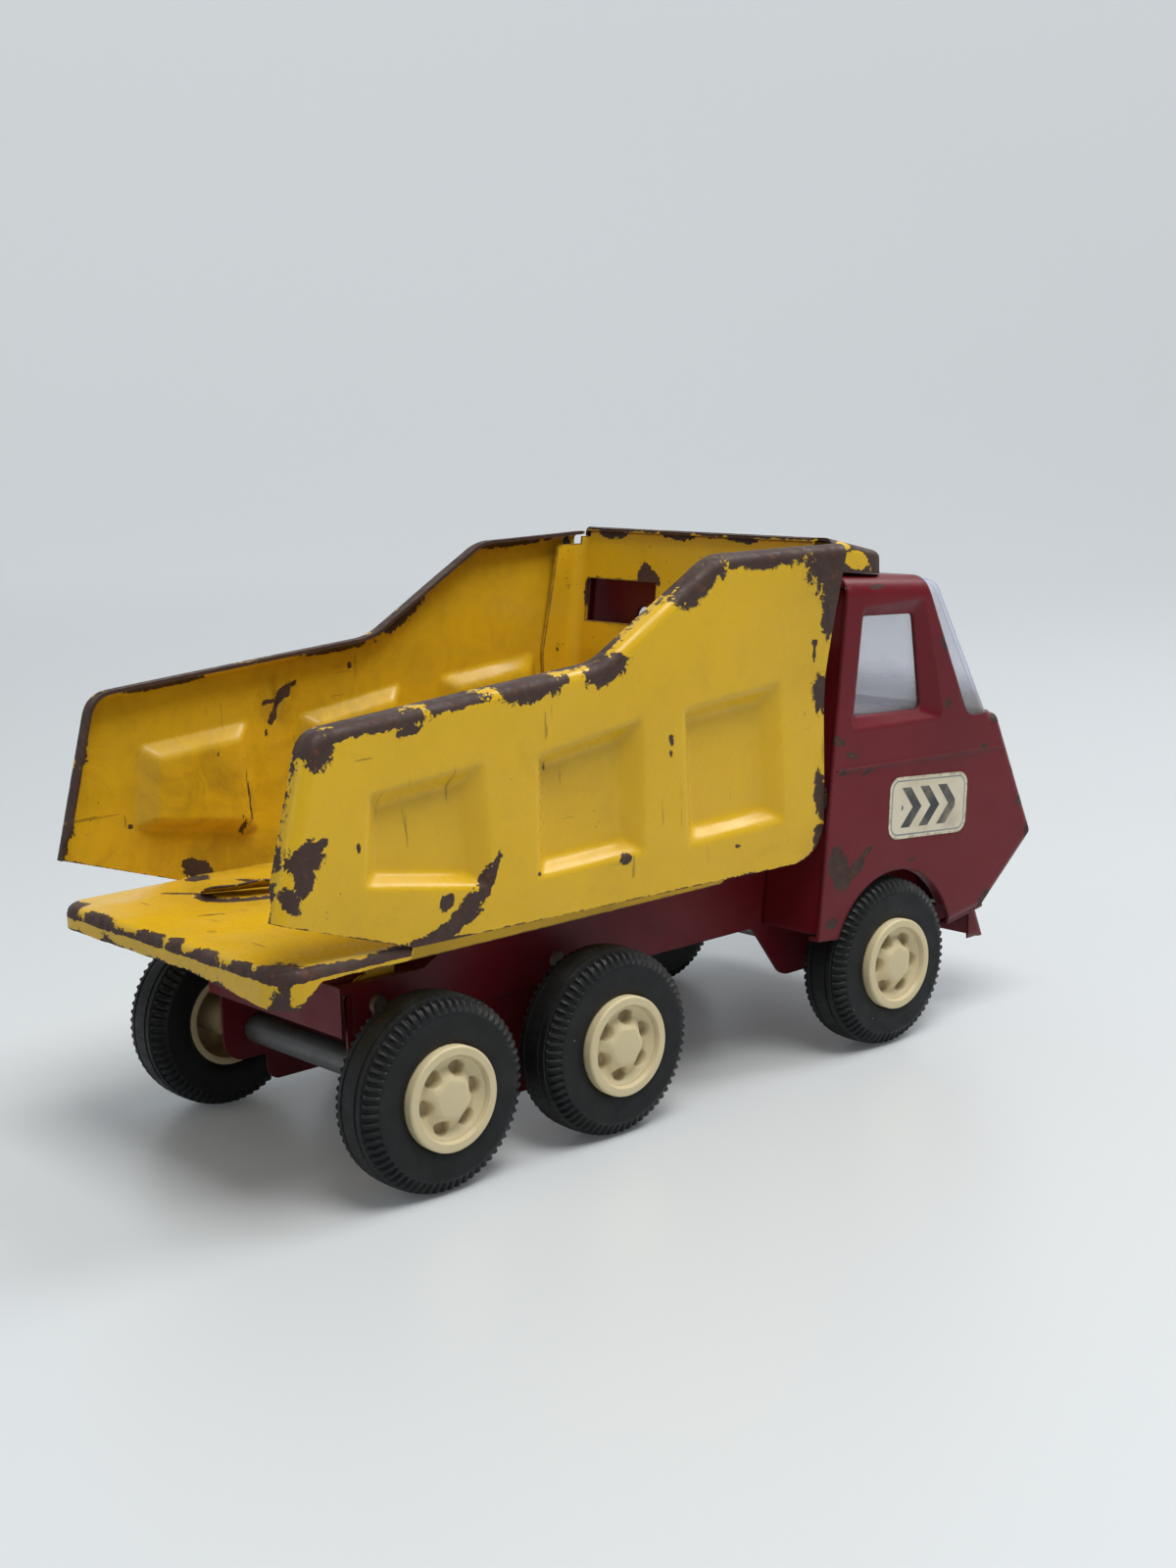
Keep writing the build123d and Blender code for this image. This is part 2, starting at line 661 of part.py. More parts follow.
with BuildPart() as bed_subframe:
    add(subframe_block(0))
    add(subframe_block(SHEET), mode=Mode.SUBTRACT)
    for sign in SIDES.values():
        with BuildSketch(side(sign * EAR_Y)):
            with Locations((PIN_X, PIN_Z)):
                Circle(EAR_RADIUS)
            neck_middle = (EAR_NECK[0] + EAR_NECK[1]) / 2
            with Locations((neck_middle, (PIN_Z + SUBFRAME_BOTTOM + SHEET) / 2)):
                Rectangle(EAR_NECK[1] - EAR_NECK[0], SUBFRAME_BOTTOM + SHEET - PIN_Z)
            with Locations((PIN_X, PIN_Z)):
                Circle(PIN_RADIUS + AXLE_FIT, mode=Mode.SUBTRACT)
        extrude(amount=SHEET / 2, both=True)
save(bed_subframe.part, "bed_subframe")

with BuildPart() as hinge_pin:
    with BuildSketch(side()):
        with Locations((PIN_X, PIN_Z)):
            Circle(PIN_RADIUS)
    extrude(amount=FRAME_HALF, both=True)
    for sign in SIDES.values():
        head = Plane(
            origin=(REAR_AXLE_X + PIN_X, sign * FRAME_HALF, PIN_Z),
            x_dir=(1, 0, 0),
            z_dir=(0, sign, 0),
        )
        with BuildSketch(head):
            Circle(RIVET_HEAD)
        extrude(amount=0.9, taper=25)
save(hinge_pin.part, "hinge_pin")

# ---- cab ---------------------------------------------------------------------------
BELT = 77.9                # height of the ledge under the windshield
UPPER_LAP = 3.0            # how far the upper cab's sides reach below the belt
CAB_REAR_FOOT = (113.6, 31.0)
ROOF_REAR = (125.3, 117.6)
ROOF_FRONT = (161.6, 114.6)
GLASS_FOOT = (182.2, BELT)
COWL = (183.0, BELT)
NOSE_TIP = (NOSE + 0.37, 44.6)
NOSE_FOOT = (177.2, 28.0)
SKIRT_FRONT = (162.0, 25.7)
SKIRT_REAR = (120.6, 30.3)
SIDE_WINDOW_MOUTH = [(126.0, 80.4), (130.4, 109.4), (152.9, 109.8), (160.4, 79.6)]
SIDE_WINDOW = [(127.6, 83.6), (131.9, 107.2), (150.8, 106.2), (153.6, 82.4)]
WINDSHIELD = [(170.0, BELT + 0.7), (155.2, 111.2), (154.0, 119.5), (200.0, 119.5), (200.0, BELT + 0.7)]


def cab_rear(height):
    """Where the leaning rear edge of the cab is at a height."""
    rise = (height - CAB_REAR_FOOT[1]) / (ROOF_REAR[1] - CAB_REAR_FOOT[1])
    return CAB_REAR_FOOT[0] + rise * (ROOF_REAR[0] - CAB_REAR_FOOT[0])


def cab_upper(inset):
    """Cab above the belt as a solid, drawn in by inset, with its sides lapped over the belt."""
    foot = BELT - UPPER_LAP
    front = GLASS_FOOT[0] if inset else GLASS_FOOT[0] - UPPER_LAP
    points = [(cab_rear(foot), foot), ROOF_REAR, ROOF_FRONT, GLASS_FOOT, (front, foot)]
    with BuildPart() as solid:
        with BuildSketch(side()):
            outline(points)
            if inset:
                offset(amount=-inset, kind=Kind.INTERSECTION)
        extrude(amount=CAB_HALF - inset, both=True)
        rounded = []
        for edge in solid.edges():
            middle = edge.position_at(0.5)
            high = middle.Z > BELT + 4
            behind = middle.X < REAR_AXLE_X + ROOF_REAR[0] + 2.5
            if high and not behind:
                rounded.append(edge)
        fillet(rounded, 5.0 - inset)
    return solid.part


def cab_lower(inset):
    """Cab below the belt as a solid, drawn in by inset."""
    with BuildPart() as solid:
        with BuildSketch(side()):
            outline(
                [
                    CAB_REAR_FOOT,
                    (cab_rear(BELT), BELT),
                    COWL,
                    NOSE_TIP,
                    NOSE_FOOT,
                    SKIRT_FRONT,
                    SKIRT_REAR,
                ],
                [(*NOSE_TIP, 1.6), (*COWL, 1.4), (*NOSE_FOOT, 3.0)],
            )
            if inset:
                offset(amount=-inset, kind=Kind.INTERSECTION)
        extrude(amount=CAB_HALF - inset, both=True)
        corners = []
        for edge in solid.edges():
            start, end = edge.position_at(0), edge.position_at(1)
            level_edge = abs(start.Y - end.Y) > 0.01
            if not level_edge and edge.position_at(0.5).X > REAR_AXLE_X + COWL[0] - 2:
                corners.append(edge)
        fillet(corners, 2.6 - inset)
    return solid.part


def arch(radius):
    """Disc of the wheel arch, in the side-view sketch in hand."""
    with Locations(ARCH_CENTRE):
        Circle(radius)


with BuildPart() as cab_shell:
    add(cab_lower(0))
    add(cab_upper(0))
    add(cab_lower(SHEET), mode=Mode.SUBTRACT)
    add(cab_upper(SHEET), mode=Mode.SUBTRACT)
    # open behind and below, inside the skin
    with BuildSketch(side()):
        outline(
            [
                (cab_rear(20), 20.0),
                (cab_rear(ROOF_REAR[1] - 3), ROOF_REAR[1] - 3),
                (cab_rear(ROOF_REAR[1] - 3) + 1.6, ROOF_REAR[1] - 3),
                (CAB_REAR_FOOT[0] + 1.8, SKIRT_REAR[1] + 2),
                (SKIRT_REAR[0], SKIRT_REAR[1] + 1.2),
                (SKIRT_FRONT[0], SKIRT_FRONT[1] + 1.2),
                (NOSE_FOOT[0] - 2, NOSE_FOOT[1] + 1.0),
                (NOSE_FOOT[0] - 1.4, 20.0),
            ]
        )
    extrude(amount=CAB_HALF - SHEET, both=True, mode=Mode.SUBTRACT)
    for sign in SIDES.values():
        # wheel arch with its edge turned in, and the skirt's hems
        with BuildSketch(side(sign * (CAB_HALF - SHEET))):
            arch(ARCH_RADIUS + SHEET)
            with Locations((ARCH_CENTRE[0], 0)):
                Rectangle(60, 2 * (SKIRT_REAR[1] + 0.4), mode=Mode.SUBTRACT)
        extrude(amount=sign * 2.2)
        with BuildSketch(side(sign * (CAB_HALF - SHEET))):
            outline([SKIRT_FRONT, NOSE_FOOT, (NOSE_FOOT[0], NOSE_FOOT[1] + SHEET), (162.0, 26.6)])
            outline([CAB_REAR_FOOT, SKIRT_REAR, (120.6, 31.2), (CAB_REAR_FOOT[0], 31.9)])
        extrude(amount=sign * 2.2)
    with BuildSketch(side()):
        arch(ARCH_RADIUS)
    extrude(amount=CAB_HALF + 1, both=True, mode=Mode.SUBTRACT)
    # pressed window recesses
    wall, hollow = pressed_pocket(SIDE_WINDOW_MOUTH, SIDE_WINDOW, CAB_HALF, RECESS_DEPTH, 1.6)
    add(wall)
    add(mirror(wall, about=Plane.XZ, mode=Mode.PRIVATE))
    add(hollow, mode=Mode.SUBTRACT)
    add(mirror(hollow, about=Plane.XZ, mode=Mode.PRIVATE), mode=Mode.SUBTRACT)
    with BuildSketch(side()):
        outline(SIDE_WINDOW)
        fillet(vertices(), 1.4)
    extrude(amount=CAB_HALF, both=True, mode=Mode.SUBTRACT)
    with BuildSketch(side()):
        outline(WINDSHIELD, [(170.0, BELT + 0.7, 4.5), (155.2, 111.2, 6.0)])
    extrude(amount=CAB_HALF + 1, both=True, mode=Mode.SUBTRACT)
    # nose: raised headlamp rings and louvres on its upper face, a bead along the belt
    run, fall = NOSE_TIP[0] - COWL[0], COWL[1] - NOSE_TIP[1]
    slope = (run**2 + fall**2) ** 0.5
    nose_face = Plane(
        origin=(REAR_AXLE_X + (NOSE_TIP[0] + COWL[0]) / 2, 0, (NOSE_TIP[1] + COWL[1]) / 2),
        x_dir=(0, 1, 0),
        z_dir=(fall / slope, 0, run / slope),
    )
    with BuildSketch(nose_face):
        with Locations((-31.0, -2.0), (31.0, -2.0)):
            Circle(8.0)
    extrude(amount=1.3, taper=20)
    with BuildSketch(nose_face.offset(1.3)):
        with Locations((-31.0, -2.0), (31.0, -2.0)):
            Circle(6.0)
    extrude(amount=-1.2, taper=15, mode=Mode.SUBTRACT)
    with BuildSketch(nose_face):
        with GridLocations(0, 3.4, 1, 5):
            SlotOverall(38.0, 1.9)
    extrude(amount=0.7, taper=20)
    for sign in SIDES.values():
        with BuildSketch(side(sign * CAB_HALF)):
            outline([(120.4, 70.9), (120.5, 71.7), (184.2, 69.6), (184.6, 68.8)])
        extrude(amount=-sign * 0.35, taper=30)
save(cab_shell.part, "cab_shell")

WALL_INSET = 1.0
WALL_FOOT = 32.1
WALL_HALF = CAB_HALF - SHEET - WELD_GAP
with BuildPart() as cab_rear_wall:
    with BuildSketch(side()):
        outline(
            [
                (cab_rear(WALL_FOOT) + WALL_INSET, WALL_FOOT),
                (cab_rear(115.6) + WALL_INSET, 115.6),
                (cab_rear(115.6) + WALL_INSET + SHEET, 115.6),
                (cab_rear(WALL_FOOT) + WALL_INSET + SHEET, WALL_FOOT),
            ]
        )
    extrude(amount=WALL_HALF, both=True)
    upright = cab_rear_wall.edges().filter_by(
        lambda edge: edge.length < 1.0 and edge.position_at(0.5).Z > 110
    )
    fillet(upright, 5.0)
    with BuildSketch(across()):
        with Locations((0, (86 + 106) / 2)):
            RectangleRounded(54.0, 20.0, 2.5)
        with Locations((0, FRAME_TOP / 2)):
            Rectangle(2 * (FRAME_HALF + WELD_GAP), FRAME_TOP + 2 * WELD_GAP)
    extrude(amount=FRONT_AXLE, mode=Mode.SUBTRACT)
    # foot that lies on the frame's web
    with BuildSketch(side()):
        foot_x = cab_rear(FRAME_TOP) + WALL_INSET
        outline(
            [
                (foot_x, FRAME_TOP),
                (foot_x + 0.2, FRAME_TOP + 1.6),
                (foot_x + 1.2, FRAME_TOP + 1.6),
                (foot_x + 1.4, FRAME_TOP + SHEET),
                (foot_x + 11.0, FRAME_TOP + SHEET),
                (foot_x + 11.0, FRAME_TOP),
            ]
        )
    extrude(amount=22.0, both=True)
    with BuildSketch(level(FRAME_TOP)):
        with Locations((CAB_RIVET[0], -CAB_RIVET[1]), (CAB_RIVET[0], CAB_RIVET[1])):
            Circle(RIVET_RADIUS)
    extrude(amount=2.0, mode=Mode.SUBTRACT)
save(cab_rear_wall.part, "cab_rear_wall")
cab_rivet_planes = []
for sign in SIDES.values():
    place = (REAR_AXLE_X + CAB_RIVET[0], sign * CAB_RIVET[1], FRAME_TOP + SHEET)
    cab_rivet_planes.append(Plane(origin=place, z_dir=(0, 0, 1)))
save(rivets(cab_rivet_planes, 2 * SHEET, 0.5), "cab_rivets")

GLASS_INSET = SHEET + WELD_GAP
with BuildPart() as windshield:
    add(cab_upper(GLASS_INSET))
    add(cab_upper(GLASS_INSET + GLASS), mode=Mode.SUBTRACT)
    # only the front pane, its wrapped corners and a lip under the roof are kept
    with BuildSketch(side()):
        outline([(100, 60), (166.2, 60), (166.2, 78.5), (151.6, 110.0), (150.4, 130), (100, 130)])
        outline([(150, 60), (150, 75.8), (210, 75.8), (210, 60)])
    extrude(amount=CAB_HALF, both=True, mode=Mode.SUBTRACT)
save(windshield.part, "windshield")

PANE_FACE = CAB_HALF - RECESS_DEPTH - SHEET - WELD_GAP
for hand, sign in SIDES.items():
    with BuildPart() as pane:
        with BuildSketch(side(sign * PANE_FACE)):
            outline(SIDE_WINDOW)
            offset(amount=2.4)
        extrude(amount=sign * GLASS)
    save(pane.part, f"{hand}_window_pane")

STICKER = (154.4, 58.2)
for hand, sign in SIDES.items():
    with BuildPart() as sticker:
        with BuildSketch(side(sign * CAB_HALF)):
            with Locations(Location((*STICKER, 0), (0, 0, -4.6))):
                RectangleRounded(30.0, 15.4, 3.4)
        extrude(amount=-sign * 0.12)
    save(sticker.part, f"{hand}_door_sticker")


# ---- bumper ------------------------------------------------------------------------
BUMPER_HALF = 42.3
BUMPER_TOP = FRAME_BOTTOM - 4.2


def bumper_block(inset):
    """Bumper bar as a solid, drawn in by inset at its front, top and ends."""
    back = 174.5 - (3.0 if inset else 0.0)
    with BuildPart() as solid:
        with BuildSketch(side()):
            outline(
                [
                    (back, 18.4 - 3 * inset),
                    (back, BUMPER_TOP - inset),
                    (178.8 - inset, BUMPER_TOP - inset),
                    (182.4 - inset + 1.2 * inset, 18.4 - 3 * inset),
                ]
            )
        extrude(amount=BUMPER_HALF - inset, both=True)
        corners = []
        for edge in solid.edges():
            start, end = edge.position_at(0), edge.position_at(1)
            ahead = edge.position_at(0.5).X > REAR_AXLE_X + 177
            if ahead and abs(start.Y - end.Y) < 0.01:
                corners.append(edge)
        fillet(corners, 3.0 - inset)
    return solid.part


with BuildPart() as front_bumper:
    add(bumper_block(0))
    add(bumper_block(SHEET), mode=Mode.SUBTRACT)
    with BuildSketch(level(BUMPER_TOP)):
        with Locations((168.5, 0)):
            Rectangle(14.0, 2 * FRAME_HALF)
        with Locations((167.5, -FRAME_HALF + 3.4), (167.5, FRAME_HALF - 3.4)):
            Circle(RIVET_RADIUS, mode=Mode.SUBTRACT)
    extrude(amount=-SHEET)
save(front_bumper.part, "front_bumper")
bumper_rivet_planes = []
for sign in SIDES.values():
    place = (REAR_AXLE_X + 167.5, sign * (FRAME_HALF - 3.4), BUMPER_TOP - SHEET)
    bumper_rivet_planes.append(Plane(origin=place, z_dir=(0, 0, -1)))
save(rivets(bumper_rivet_planes, 2 * SHEET, 0.5), "bumper_rivets")
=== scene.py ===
"""Toy dump truck in worn pressed steel: paint, tyres, hubs, sheet-metal bed and stage."""

import json
import math

import bpy
import numpy as np
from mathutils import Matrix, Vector, noise


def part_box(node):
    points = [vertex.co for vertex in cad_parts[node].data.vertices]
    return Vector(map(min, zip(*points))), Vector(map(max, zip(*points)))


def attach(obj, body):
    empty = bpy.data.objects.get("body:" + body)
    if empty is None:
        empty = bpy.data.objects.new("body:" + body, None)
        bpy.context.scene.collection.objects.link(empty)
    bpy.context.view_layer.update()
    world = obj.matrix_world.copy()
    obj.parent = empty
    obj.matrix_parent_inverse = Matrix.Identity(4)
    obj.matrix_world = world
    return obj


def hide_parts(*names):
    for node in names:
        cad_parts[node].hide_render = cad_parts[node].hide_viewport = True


bl_info = {
    "name": "Pressed-Steel Dump Truck",
    "version": (1, 0, 0),
    "blender": (4, 5, 0),
    "location": "View3D > Sidebar > Dump Truck",
    "description": "Builds the looks of a worn toy dump truck around its packed parts",
    "category": "Object",
}

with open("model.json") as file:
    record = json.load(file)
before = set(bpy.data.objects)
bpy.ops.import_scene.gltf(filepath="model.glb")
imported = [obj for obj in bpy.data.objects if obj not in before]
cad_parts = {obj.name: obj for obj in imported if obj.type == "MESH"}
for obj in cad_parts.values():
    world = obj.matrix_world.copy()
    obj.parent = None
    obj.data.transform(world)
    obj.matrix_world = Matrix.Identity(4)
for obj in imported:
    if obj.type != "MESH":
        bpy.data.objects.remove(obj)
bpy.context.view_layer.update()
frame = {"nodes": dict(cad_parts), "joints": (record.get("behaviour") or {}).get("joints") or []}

MM = 0.001
JOINTS = {joint["name"]: joint for joint in frame["joints"]}
REAR_X = JOINTS["rear_axle_spin"]["pos_m"][0]
AXLE_X = {place: JOINTS[f"{place}_axle_spin"]["pos_m"][0] for place in ("rear", "mid", "front")}
AXLE_Z = JOINTS["rear_axle_spin"]["pos_m"][2]
SIDES = {"right": -1, "left": 1}


# ---- settings ----------------------------------------------------------------------
class TRUCK_PG_paint(bpy.types.PropertyGroup):
    """Colours and wear of the truck's finishes"""

    yellow: bpy.props.FloatVectorProperty(
        name="Bed Yellow", description="Enamel of the dump bed", subtype="COLOR", size=3,
        min=0, max=1, default=(0.67, 0.405, 0.012),
    )
    maroon: bpy.props.FloatVectorProperty(
        name="Cab Red", description="Enamel of the cab and the chassis", subtype="COLOR", size=3,
        min=0, max=1, default=(0.122, 0.0060, 0.0115),
    )
    primer: bpy.props.FloatVectorProperty(
        name="Primer", description="Brown coat that shows where the enamel has chipped",
        subtype="COLOR", size=3, min=0, max=1, default=(0.034, 0.018, 0.014),
    )
    rust: bpy.props.FloatVectorProperty(
        name="Rust", description="Rust in the deepest chips and tears", subtype="COLOR", size=3,
        min=0, max=1, default=(0.16, 0.052, 0.018),
    )
    cream: bpy.props.FloatVectorProperty(
        name="Hub Cream", description="Moulded plastic of the hubs", subtype="COLOR", size=3,
        min=0, max=1, default=(0.68, 0.575, 0.345),
    )
    rubber: bpy.props.FloatVectorProperty(
        name="Tyre Black", description="Rubber of the tyres", subtype="COLOR", size=3,
        min=0, max=1, default=(0.0042, 0.0050, 0.0058),
    )
    dust: bpy.props.FloatProperty(
        name="Dust", description="How much dust lies on the truck", subtype="FACTOR",
        min=0, max=1, default=0.5,
    )


class TRUCK_PG_wheels(bpy.types.PropertyGroup):
    """Sizes of the tyres and hubs"""

    radius: bpy.props.FloatProperty(
        name="Tyre Radius", description="Axle to the tread", unit="LENGTH",
        min=0.001, default=21.0 * MM,
    )
    lugs: bpy.props.IntProperty(
        name="Shoulder Lugs", description="Fine lugs around each shoulder", min=12, default=66,
    )
    lug_depth: bpy.props.FloatProperty(
        name="Lug Depth", description="Depth between the shoulder lugs", unit="LENGTH",
        min=0, default=0.75 * MM,
    )
    hub_radius: bpy.props.FloatProperty(
        name="Hub Radius", description="Outside of the hub's rim", unit="LENGTH",
        min=0.001, default=11.2 * MM,
    )


class TRUCK_PG_bed(bpy.types.PropertyGroup):
    """Sizes of the bed's sheet metal"""

    sheet: bpy.props.FloatProperty(
        name="Sheet", description="Thickness of the steel", unit="LENGTH", min=0.0001,
        default=0.8 * MM,
    )
    pocket_depth: bpy.props.FloatProperty(
        name="Pocket Depth", description="Depth of the pockets pressed in the side panels",
        unit="LENGTH", min=0, default=3.3 * MM,
    )
    rim: bpy.props.FloatProperty(
        name="Rim", description="Width of the rim turned in along the panels", unit="LENGTH",
        min=0, default=5.0 * MM,
    )
    bend: bpy.props.FloatProperty(
        name="Rim Bend", description="Outside radius of the rim's bend", unit="LENGTH",
        min=0, default=2.6 * MM,
    )
    splay: bpy.props.FloatProperty(
        name="Corner Splay", description="How far the front top corners are bent outwards",
        unit="LENGTH", min=0, default=4.3 * MM,
    )


class TRUCK_PG_stage(bpy.types.PropertyGroup):
    """Camera, floor and lights"""

    lens: bpy.props.FloatProperty(
        name="Lens", description="Focal length on a 36 mm sensor, in millimetres", min=10,
        default=49.41,
    )
    camera_at: bpy.props.FloatVectorProperty(
        name="Camera Place", description="Where the camera stands", subtype="XYZ",
        unit="LENGTH", size=3, default=(-0.33687, -0.38058, 0.16455),
    )
    azimuth: bpy.props.FloatProperty(
        name="Azimuth", description="Turn of the camera about the vertical", subtype="ANGLE",
        default=-0.7273889,
    )
    elevation: bpy.props.FloatProperty(
        name="Elevation", description="How far the camera looks down", subtype="ANGLE",
        default=0.1861974,
    )
    roll: bpy.props.FloatProperty(
        name="Roll", description="Tilt of the camera about its line of sight", subtype="ANGLE",
        default=-0.0272,
    )
    floor: bpy.props.FloatVectorProperty(
        name="Floor Colour", description="Pale floor and backdrop", subtype="COLOR", size=3,
        min=0, max=1, default=(0.62, 0.645, 0.66),
    )
    glow: bpy.props.FloatProperty(
        name="Floor Glow", description="Light that the floor and backdrop give off", min=0,
        default=0.72,
    )


# ---- shader nodes ------------------------------------------------------------------
class Tree:
    """Short ways to add and join shader nodes."""

    def __init__(self, tree):
        self.tree = tree

    def add(self, kind, inputs=(), **settings):
        node = self.tree.nodes.new(kind)
        for name, value in settings.items():
            setattr(node, name, value)
        for key, value in dict(inputs).items():
            self.feed(node.inputs[key], value)
        return node

    def feed(self, socket, value):
        if isinstance(value, bpy.types.NodeSocket):
            self.tree.links.new(value, socket)
        elif value is not None:
            if socket.type == "RGBA" and len(value) == 3:
                value = (*value, 1.0)
            socket.default_value = value

    def math(self, operation, first, second=None, third=None, clamp=False):
        node = self.tree.nodes.new("ShaderNodeMath")
        node.operation = operation
        node.use_clamp = clamp
        for socket, value in zip(node.inputs, (first, second, third)):
            self.feed(socket, value)
        return node.outputs[0]

    def remap(self, value, low, high, to_low=0.0, to_high=1.0, smooth=True):
        node = self.tree.nodes.new("ShaderNodeMapRange")
        node.interpolation_type = "SMOOTHSTEP" if smooth else "LINEAR"
        for socket, each in zip(node.inputs, (value, low, high, to_low, to_high)):
            self.feed(socket, each)
        return node.outputs[0]

    def mix(self, factor, first, second):
        node = self.tree.nodes.new("ShaderNodeMix")
        node.data_type = "RGBA"
        node.blend_type = "MIX"
        node.clamp_factor = True
        self.feed(node.inputs[0], factor)
        self.feed(node.inputs[6], first)
        self.feed(node.inputs[7], second)
        return node.outputs[2]

    def noise(self, where, scale, detail=4.0, rough=0.55, distortion=0.0):
        inputs = {"Vector": where, "Scale": scale, "Detail": detail, "Roughness": rough,
                  "Distortion": distortion}
        return self.add("ShaderNodeTexNoise", inputs).outputs[0]

    def cells(self, where, scale):
        inputs = {"Vector": where, "Scale": scale, "Randomness": 1.0}
        return self.add("ShaderNodeTexVoronoi", inputs, feature="F1").outputs[0]

    def stretch(self, where, scale):
        node = self.add("ShaderNodeMapping", {"Vector": where, "Scale": scale})
        return node.outputs[0]

    def place(self):
        """Position on the part itself, in metres."""
        return self.add("ShaderNodeTexCoord").outputs["Object"]

    def attribute(self, name):
        return self.add("ShaderNodeAttribute", attribute_name=name).outputs["Fac"]

    def group(self, group, **inputs):
        node = self.add("ShaderNodeGroup", node_tree=group)
        for name, value in inputs.items():
            self.feed(node.inputs[name.replace("_", " ")], value)
        return node.outputs

    def bump(self, height, strength, distance, normal=None):
        inputs = {"Height": height, "Strength": strength, "Distance": distance}
        node = self.add("ShaderNodeBump", inputs)
        if normal is not None:
            self.feed(node.inputs["Normal"], normal)
        return node.outputs[0]


def new_group(name, inputs, outputs):
    """Shader node group with named sockets, and its Tree and end nodes."""
    group = bpy.data.node_groups.new(name, "ShaderNodeTree")
    for socket, kind, default in inputs:
        made = group.interface.new_socket(socket, in_out="INPUT", socket_type=f"NodeSocket{kind}")
        if default is not None:
            made.default_value = default
    for socket, kind in outputs:
        group.interface.new_socket(socket, in_out="OUTPUT", socket_type=f"NodeSocket{kind}")
    tree = Tree(group)
    start = tree.add("NodeGroupInput").outputs
    end = tree.add("NodeGroupOutput").inputs
    return group, tree, start, end


def chip_group():
    """Chips: flaked paint wherever wear, made ragged by noise, is above zero."""
    group, tree, start, end = new_group(
        "Paint Chips",
        [("Wear", "Float", 0.0), ("Ragged", "Float", 0.5), ("Scale", "Float", 260.0)],
        [("Chip", "Float"), ("Lip Highlight", "Float"), ("Rust", "Float"), ("Height", "Float")],
    )
    where = tree.place()
    coarse = tree.noise(where, start["Scale"], 6.0, 0.68, 0.6)
    fine = tree.noise(where, tree.math("MULTIPLY", start["Scale"], 4.3), 4.0, 0.7)
    fine = tree.math("MULTIPLY", fine, 0.28)
    ragged = tree.math("ADD", tree.math("MULTIPLY", coarse, 0.72), fine)
    ragged = tree.math("MULTIPLY", tree.math("SUBTRACT", ragged, 0.5), start["Ragged"])
    field = tree.math("MULTIPLY_ADD", ragged, 4.0, start["Wear"])
    chip = tree.remap(field, -0.012, 0.012)
    tree.feed(end["Chip"], chip)
    # Lip Highlight: a thin band along each chip's edge, used for a painted highlight on the raised
    # paint edge
    tree.feed(end["Lip Highlight"], tree.remap(tree.math("ABSOLUTE", field), 0.0, 0.07, 1.0, 0.0))
    deep = tree.remap(field, 0.1, 1.3)
    spots = tree.remap(tree.noise(where, 520.0, 4.0, 0.7), 0.5, 0.72)
    tree.feed(end["Rust"], tree.math("MULTIPLY", deep, spots))
    pits = tree.math("MULTIPLY", tree.noise(where, 1400.0, 3.0, 0.7), 0.35)
    tree.feed(end["Height"], tree.math("SUBTRACT", tree.math("MULTIPLY", chip, pits), chip))
    return group


def edge_group():
    """Wear from sharp edges: how much a rounded normal turns away from the surface's own."""
    group, tree, start, end = new_group(
        "Worn Edges", [("Radius", "Float", 0.0009)], [("Wear", "Float"), ("Rounded", "Vector")]
    )
    rounded = tree.add("ShaderNodeBevel", {"Radius": start["Radius"]}, samples=6)
    flat = tree.add("ShaderNodeNewGeometry").outputs["Normal"]
    inputs = {0: rounded.outputs[0], 1: flat}
    turn = tree.add("ShaderNodeVectorMath", inputs, operation="DOT_PRODUCT")
    tree.feed(end["Wear"], tree.remap(turn.outputs["Value"], 1.0, 0.80, 0.0, 1.0, smooth=False))
    tree.feed(end["Rounded"], rounded.outputs[0])
    return group


def dust_group():
    """Dust: lies on what faces up, and in a thin uneven film everywhere."""
    group, tree, start, end = new_group("Dust", [("Amount", "Float", 0.5)], [("Mask", "Float")])
    where = tree.place()
    normal = tree.add("ShaderNodeNewGeometry").outputs["Normal"]
    up = tree.add("ShaderNodeSeparateXYZ", {"Vector": normal}).outputs["Z"]
    patchy = tree.remap(tree.noise(where, 60.0, 6.0, 0.68), 0.35, 0.8)
    specks = tree.remap(tree.cells(where, 900.0), 0.14, 0.06)
    lying = tree.math("MULTIPLY", tree.remap(up, 0.1, 1.0), 0.6)
    film = tree.math("MULTIPLY", tree.math("ADD", lying, 0.18), patchy)
    rare = tree.math("MULTIPLY", specks, tree.remap(tree.noise(where, 140.0, 2.0), 0.52, 0.7))
    total = tree.math("ADD", film, tree.math("MULTIPLY", rare, 0.5))
    tree.feed(end["Mask"], tree.math("MULTIPLY", total, start["Amount"], clamp=True))
    return group


def scratch_group():
    """Fine scratches in two directions, with the small specks of an old coat."""
    group, tree, start, end = new_group(
        "Scratches", [("Amount", "Float", 0.5)], [("Mask", "Float"), ("Specks", "Float")]
    )
    where = tree.place()
    lines = None
    for scale, turn in (((30, 30, 700), 0.5), ((600, 40, 45), -0.35)):
        spin = (turn, turn, 0.2)
        warped = tree.add("ShaderNodeMapping", {"Vector": where, "Scale": scale, "Rotation": spin})
        strokes = tree.remap(tree.noise(warped.outputs[0], 1.0, 2.0, 0.5), 0.685, 0.70)
        gate = tree.remap(tree.noise(where, 48.0 + scale[0] / 50, 2.0), 0.52, 0.62)
        strokes = tree.math("MULTIPLY", strokes, gate)
        lines = strokes if lines is None else tree.math("MAXIMUM", lines, strokes)
    tree.feed(end["Mask"], tree.math("MULTIPLY", lines, start["Amount"], clamp=True))
    dots = tree.remap(tree.cells(where, 420.0), 0.10, 0.06)
    gate = tree.remap(tree.noise(where, 75.0, 3.0), 0.56, 0.66)
    tree.feed(end["Specks"], tree.math("MULTIPLY", dots, gate))
    return group


GROUPS = {}


